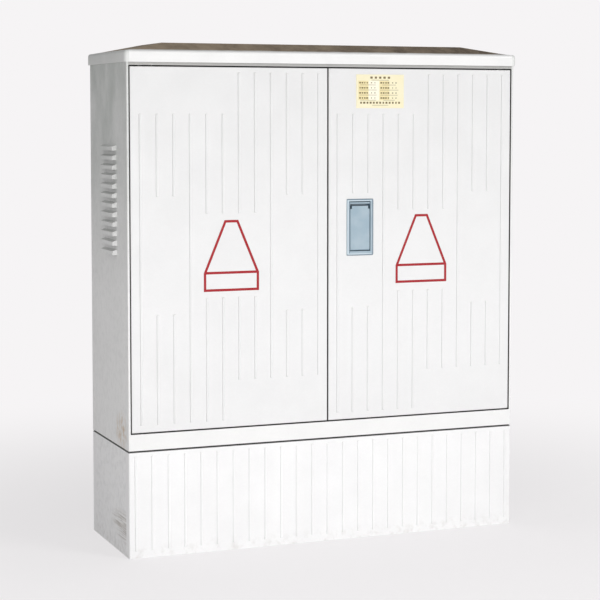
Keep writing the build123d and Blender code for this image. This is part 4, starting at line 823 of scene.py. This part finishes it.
# Printed bars on the plate: brown stoving ink, a tenth of a millimetre thick, in rows of plain short dashes.
# The ink is matt, and it pales in small spots where it has worn.
def dash_tree():
    """Geometry nodes that lay a small bar on every point of a mesh, each of the given length, shortened at random."""
    tree = bpy.data.node_groups.new("printed_dashes", "GeometryNodeTree")
    tree.interface.new_socket("Points", in_out="INPUT", socket_type="NodeSocketGeometry")
    for socket_name in ("Length", "Height", "Thickness"):
        tree.interface.new_socket(socket_name, in_out="INPUT", socket_type="NodeSocketFloat")
    tree.interface.new_socket("Seed", in_out="INPUT", socket_type="NodeSocketInt")
    tree.interface.new_socket("Finish", in_out="INPUT", socket_type="NodeSocketMaterial")
    tree.interface.new_socket("Dashes", in_out="OUTPUT", socket_type="NodeSocketGeometry")
    sizes = wire(tree, "NodeGroupInput").outputs
    form = wire(tree, "ShaderNodeCombineXYZ", {"X": sizes["Length"], "Y": sizes["Thickness"], "Z": sizes["Height"]})
    bar = wire(tree, "GeometryNodeMeshCube", {"Size": form})
    stretch = wire(tree, "FunctionNodeRandomValue", {"Seed": sizes["Seed"], 2: 0.55, 3: 1.0}, data_type="FLOAT")
    scale = wire(tree, "ShaderNodeCombineXYZ", {"X": stretch.outputs[1], "Y": 1.0, "Z": 1.0})
    spread = wire(tree, "GeometryNodeInstanceOnPoints", {"Points": sizes["Points"], "Instance": bar, "Scale": scale})
    solid = wire(tree, "GeometryNodeRealizeInstances", {0: spread})
    dressed = wire(tree, "GeometryNodeSetMaterial", {"Geometry": solid, "Material": sizes["Finish"]})
    wire(tree, "NodeGroupOutput", {"Dashes": dressed})
    return tree


DASHES = dash_tree()
brown_ink = clouded_finish(
    "brown_printing_ink", ("#57482A", "#86754A"), cloud=2.5 * MM, detail=3.0, roughness=0.6, ior=1.5
)


def print_dashes(name, points, length, height, seed):
    """Dashes of about this length at these points on the rating plate."""
    ink_sheet = 0.1 * MM
    sizes = {"Length": length, "Height": height, "Thickness": ink_sheet, "Seed": seed, "Finish": brown_ink}
    plant(name, points, DASHES, sizes, "right_door")


plate_mid = (plate_left + plate_right) / 2
heading_step, heading_drop = 11.5 * MM, 7.5 * MM
heading = [(plate_mid + (step - 2) * heading_step, print_face, plate_high - heading_drop) for step in range(5)]
print_dashes("plate_heading", heading, length=6.5 * MM, height=5.0 * MM, seed=3)
line_step, line_rise = 8.4 * MM, 13 * MM
foot_line = [(plate_mid + (step - 6) * line_step, print_face, plate_low + line_rise) for step in range(13)]
print_dashes("plate_foot_line", foot_line, length=5.8 * MM, height=4.6 * MM, seed=5)
row_drop, row_step = 20 * MM, 12.2 * MM
row_levels = [plate_high - row_drop - row_step * row for row in range(4)]
columns = (plate_left + 10 * MM, plate_left + 66 * MM)
row_starts = [(column, level) for level in row_levels for column in columns]
entry_step = 6.2 * MM
entries = [(column + step * entry_step, print_face, level) for column, level in row_starts for step in range(4)]
print_dashes("plate_entries", entries, length=5.2 * MM, height=3.6 * MM, seed=7)
value_start, value_step = 30 * MM, 9 * MM
values = [
    (column + value_start + step * value_step, print_face, level) for column, level in row_starts for step in range(2)
]
print_dashes("plate_values", values, length=3.4 * MM, height=2.4 * MM, seed=13)
rule_mid, rule_drop, head_rule_drop, foot_rule_rise = 21 * MM, 5.2 * MM, 13.5 * MM, 7 * MM
rules = [(column + rule_mid, print_face, level - rule_drop) for column, level in row_starts]
rules += [(plate_mid, print_face, plate_high - head_rule_drop), (plate_mid, print_face, plate_low + foot_rule_rise)]
print_dashes("plate_rules", rules, length=50 * MM, height=0.8 * MM, seed=11)

# Printed frames on both doors: a line of screen-printed red enamel round a sloping field on a plain bar, left blank.
# The enamel is matt, and the screen's weave leaves it slightly uneven.
red_enamel = clouded_finish(
    "red_screen_enamel", ("#960A18", "#AC1220"), cloud=6 * MM, detail=4.0, roughness=0.6, ior=1.5
)


def printed_frame(name, middle, top, body):
    """One red line round a sloping field and the bar below it, printed on a door's face."""
    line, enamel_sheet = 6.0 * MM, 0.2 * MM
    half_foot, half_head = 69 * MM, 17 * MM
    field_height, bar_height = 124 * MM, 44 * MM
    split, foot = top - field_height, top - field_height - bar_height
    lean = (half_foot - half_head) / field_height
    side_inset = line * math.hypot(1.0, lean)
    hole_low, hole_high = split + line / 2, top - line
    half_hole_low = half_foot - lean * (hole_low - split) - side_inset
    half_hole_high = half_foot - lean * (hole_high - split) - side_inset
    half_bar = half_foot - line
    bar_low, bar_high = foot + line, split - line / 2
    outer = [
        (-half_foot, foot), (half_foot, foot), (half_foot, split), (half_head, top), (-half_head, top),
        (-half_foot, split),
    ]
    bar_hole = rectangle(-half_bar, half_bar, bar_low, bar_high)
    field_hole = [
        (-half_hole_low, hole_low), (half_hole_low, hole_low), (half_hole_high, hole_high),
        (-half_hole_high, hole_high),
    ]
    corners = [(middle + x, z) for x, z in outer + bar_hole + field_hole]
    strips = [
        (0, 1, 7, 6), (1, 2, 8, 7), (2, 11, 8), (2, 3, 12, 11), (3, 4, 13, 12), (4, 5, 10, 13), (5, 9, 10),
        (5, 0, 6, 9), (9, 8, 11, 10),
    ]
    raised_sheet(name, corners, strips, door_face, door_face - enamel_sheet, red_enamel, body)


printed_frame("left_printed_frame", middle=-246 * MM, top=787 * MM, body="left_door")
printed_frame("right_printed_frame", middle=248 * MM, top=791 * MM, body="right_door")

# Floor: a plain pale studio floor, painted matt, that fades to the backdrop's colour far from the cabinet.
# It takes the cabinet's soft shadow close by, and far off it glows as the backdrop does, so that no horizon shows.
BACKDROP = "#F6F4F5"
floor_radius = 30.0
floor_mesh = bmesh.new()
bmesh.ops.create_circle(floor_mesh, cap_ends=True, segments=96, radius=floor_radius)
floor_data = bpy.data.meshes.new("studio_floor")
floor_mesh.to_mesh(floor_data)
floor_mesh.free()
floor = bpy.data.objects.new("studio_floor", floor_data)
bpy.context.collection.objects.link(floor)
floor_paint, tree, place = blank_finish("pale_studio_floor")
reach = wire(tree, "ShaderNodeVectorMath", {0: place}, operation="LENGTH")
far = wire(
    tree, "ShaderNodeMapRange",
    {"Value": reach.outputs["Value"], "From Min": 0.3, "From Max": 2.2, "To Min": 0.66, "To Max": 1.0},
    interpolation_type="SMOOTHSTEP",
)
mottle = wire(tree, "ShaderNodeTexNoise", {"Vector": place, "Scale": 3.0, "Detail": 3.0})
floor_tint = wire(
    tree, "ShaderNodeMix", {"Factor": mottle, 6: linear("#EFEDEE"), 7: linear("#F3F1F2")}, data_type="RGBA"
)
matt = wire(tree, "ShaderNodeBsdfDiffuse", {"Color": floor_tint.outputs[2]})
seen = wire(tree, "ShaderNodeLightPath")
direct = wire(
    tree, "ShaderNodeMath", {0: seen.outputs["Is Camera Ray"], 1: seen.outputs["Is Glossy Ray"]}, operation="MAXIMUM"
)
direct_far = wire(tree, "ShaderNodeMath", {0: direct, 1: far}, operation="MULTIPLY")
glow = wire(tree, "ShaderNodeEmission", {"Color": linear(BACKDROP), "Strength": 1.0})
mixed = wire(tree, "ShaderNodeMixShader", {0: direct_far, 1: matt, 2: glow})
wire(tree, "ShaderNodeOutputMaterial", {"Surface": mixed})
floor_data.materials.append(floor_paint)

# Studio light: four square soft lamps in an even pale surround, which the camera sees as the backdrop.
# The key lamp stands high at the front right. A weaker one at the front left and two low ones in front fill in.
world = bpy.data.worlds.new("pale_surround")
bpy.context.scene.world = world
world.use_nodes = True
tree = world.node_tree
tree.nodes.clear()
seen = wire(tree, "ShaderNodeLightPath")
direct = wire(
    tree, "ShaderNodeMath", {0: seen.outputs["Is Camera Ray"], 1: seen.outputs["Is Transmission Ray"]},
    operation="MAXIMUM",
)
surround = wire(tree, "ShaderNodeBackground", {"Color": linear("#FFFFFF"), "Strength": 0.38})
backdrop = wire(tree, "ShaderNodeBackground", {"Color": linear(BACKDROP), "Strength": 1.0})
mixed = wire(tree, "ShaderNodeMixShader", {0: direct, 1: surround, 2: backdrop})
wire(tree, "ShaderNodeOutputWorld", {"Surface": mixed})


def soft_lamp(name, place, aim, size, power):
    """A square soft lamp at a place, turned to its aim."""
    data = bpy.data.lights.new(name, "AREA")
    data.size = size
    data.energy = power
    lamp = bpy.data.objects.new(name, data)
    bpy.context.collection.objects.link(lamp)
    lamp.location = place
    lamp.rotation_euler = (Vector(aim) - Vector(place)).to_track_quat("-Z", "Y").to_euler()


soft_lamp("key_lamp", (2.2, -3.3, 3.2), aim=(0.0, 0.0, 0.3), size=1.6, power=66.0)
soft_lamp("front_lamp", (-1.6, -2.2, 1.1), aim=(0.0, 0.0, 0.4), size=1.0, power=13.5)
soft_lamp("low_left_lamp", (-0.7, -2.6, 0.35), aim=(0.0, 0.0, 0.2), size=1.0, power=13.0)
soft_lamp("low_right_lamp", (1.3, -2.3, 0.3), aim=(0.2, 0.0, 0.1), size=1.0, power=9.0)

# Camera: in front and to the left of the cabinet, just under the roof's height and tilted slightly down.
# A long lens, shifted down a little, gives the photograph's viewing angle and framing.
camera_data = bpy.data.cameras.new("camera")
camera_data.sensor_width = 36.0
camera_data.lens = 106.22
camera_data.shift_y = -0.10
camera = bpy.data.objects.new("camera", camera_data)
bpy.context.collection.objects.link(camera)
camera.location = (-1.6288, -4.0854, 1.0319)
tilt_down, turn_right = 4.019, 21.628
camera.rotation_euler = (math.radians(90.0 - tilt_down), 0.0, math.radians(-turn_right))
bpy.context.scene.camera = camera
bpy.context.scene.view_settings.view_transform = "Standard"
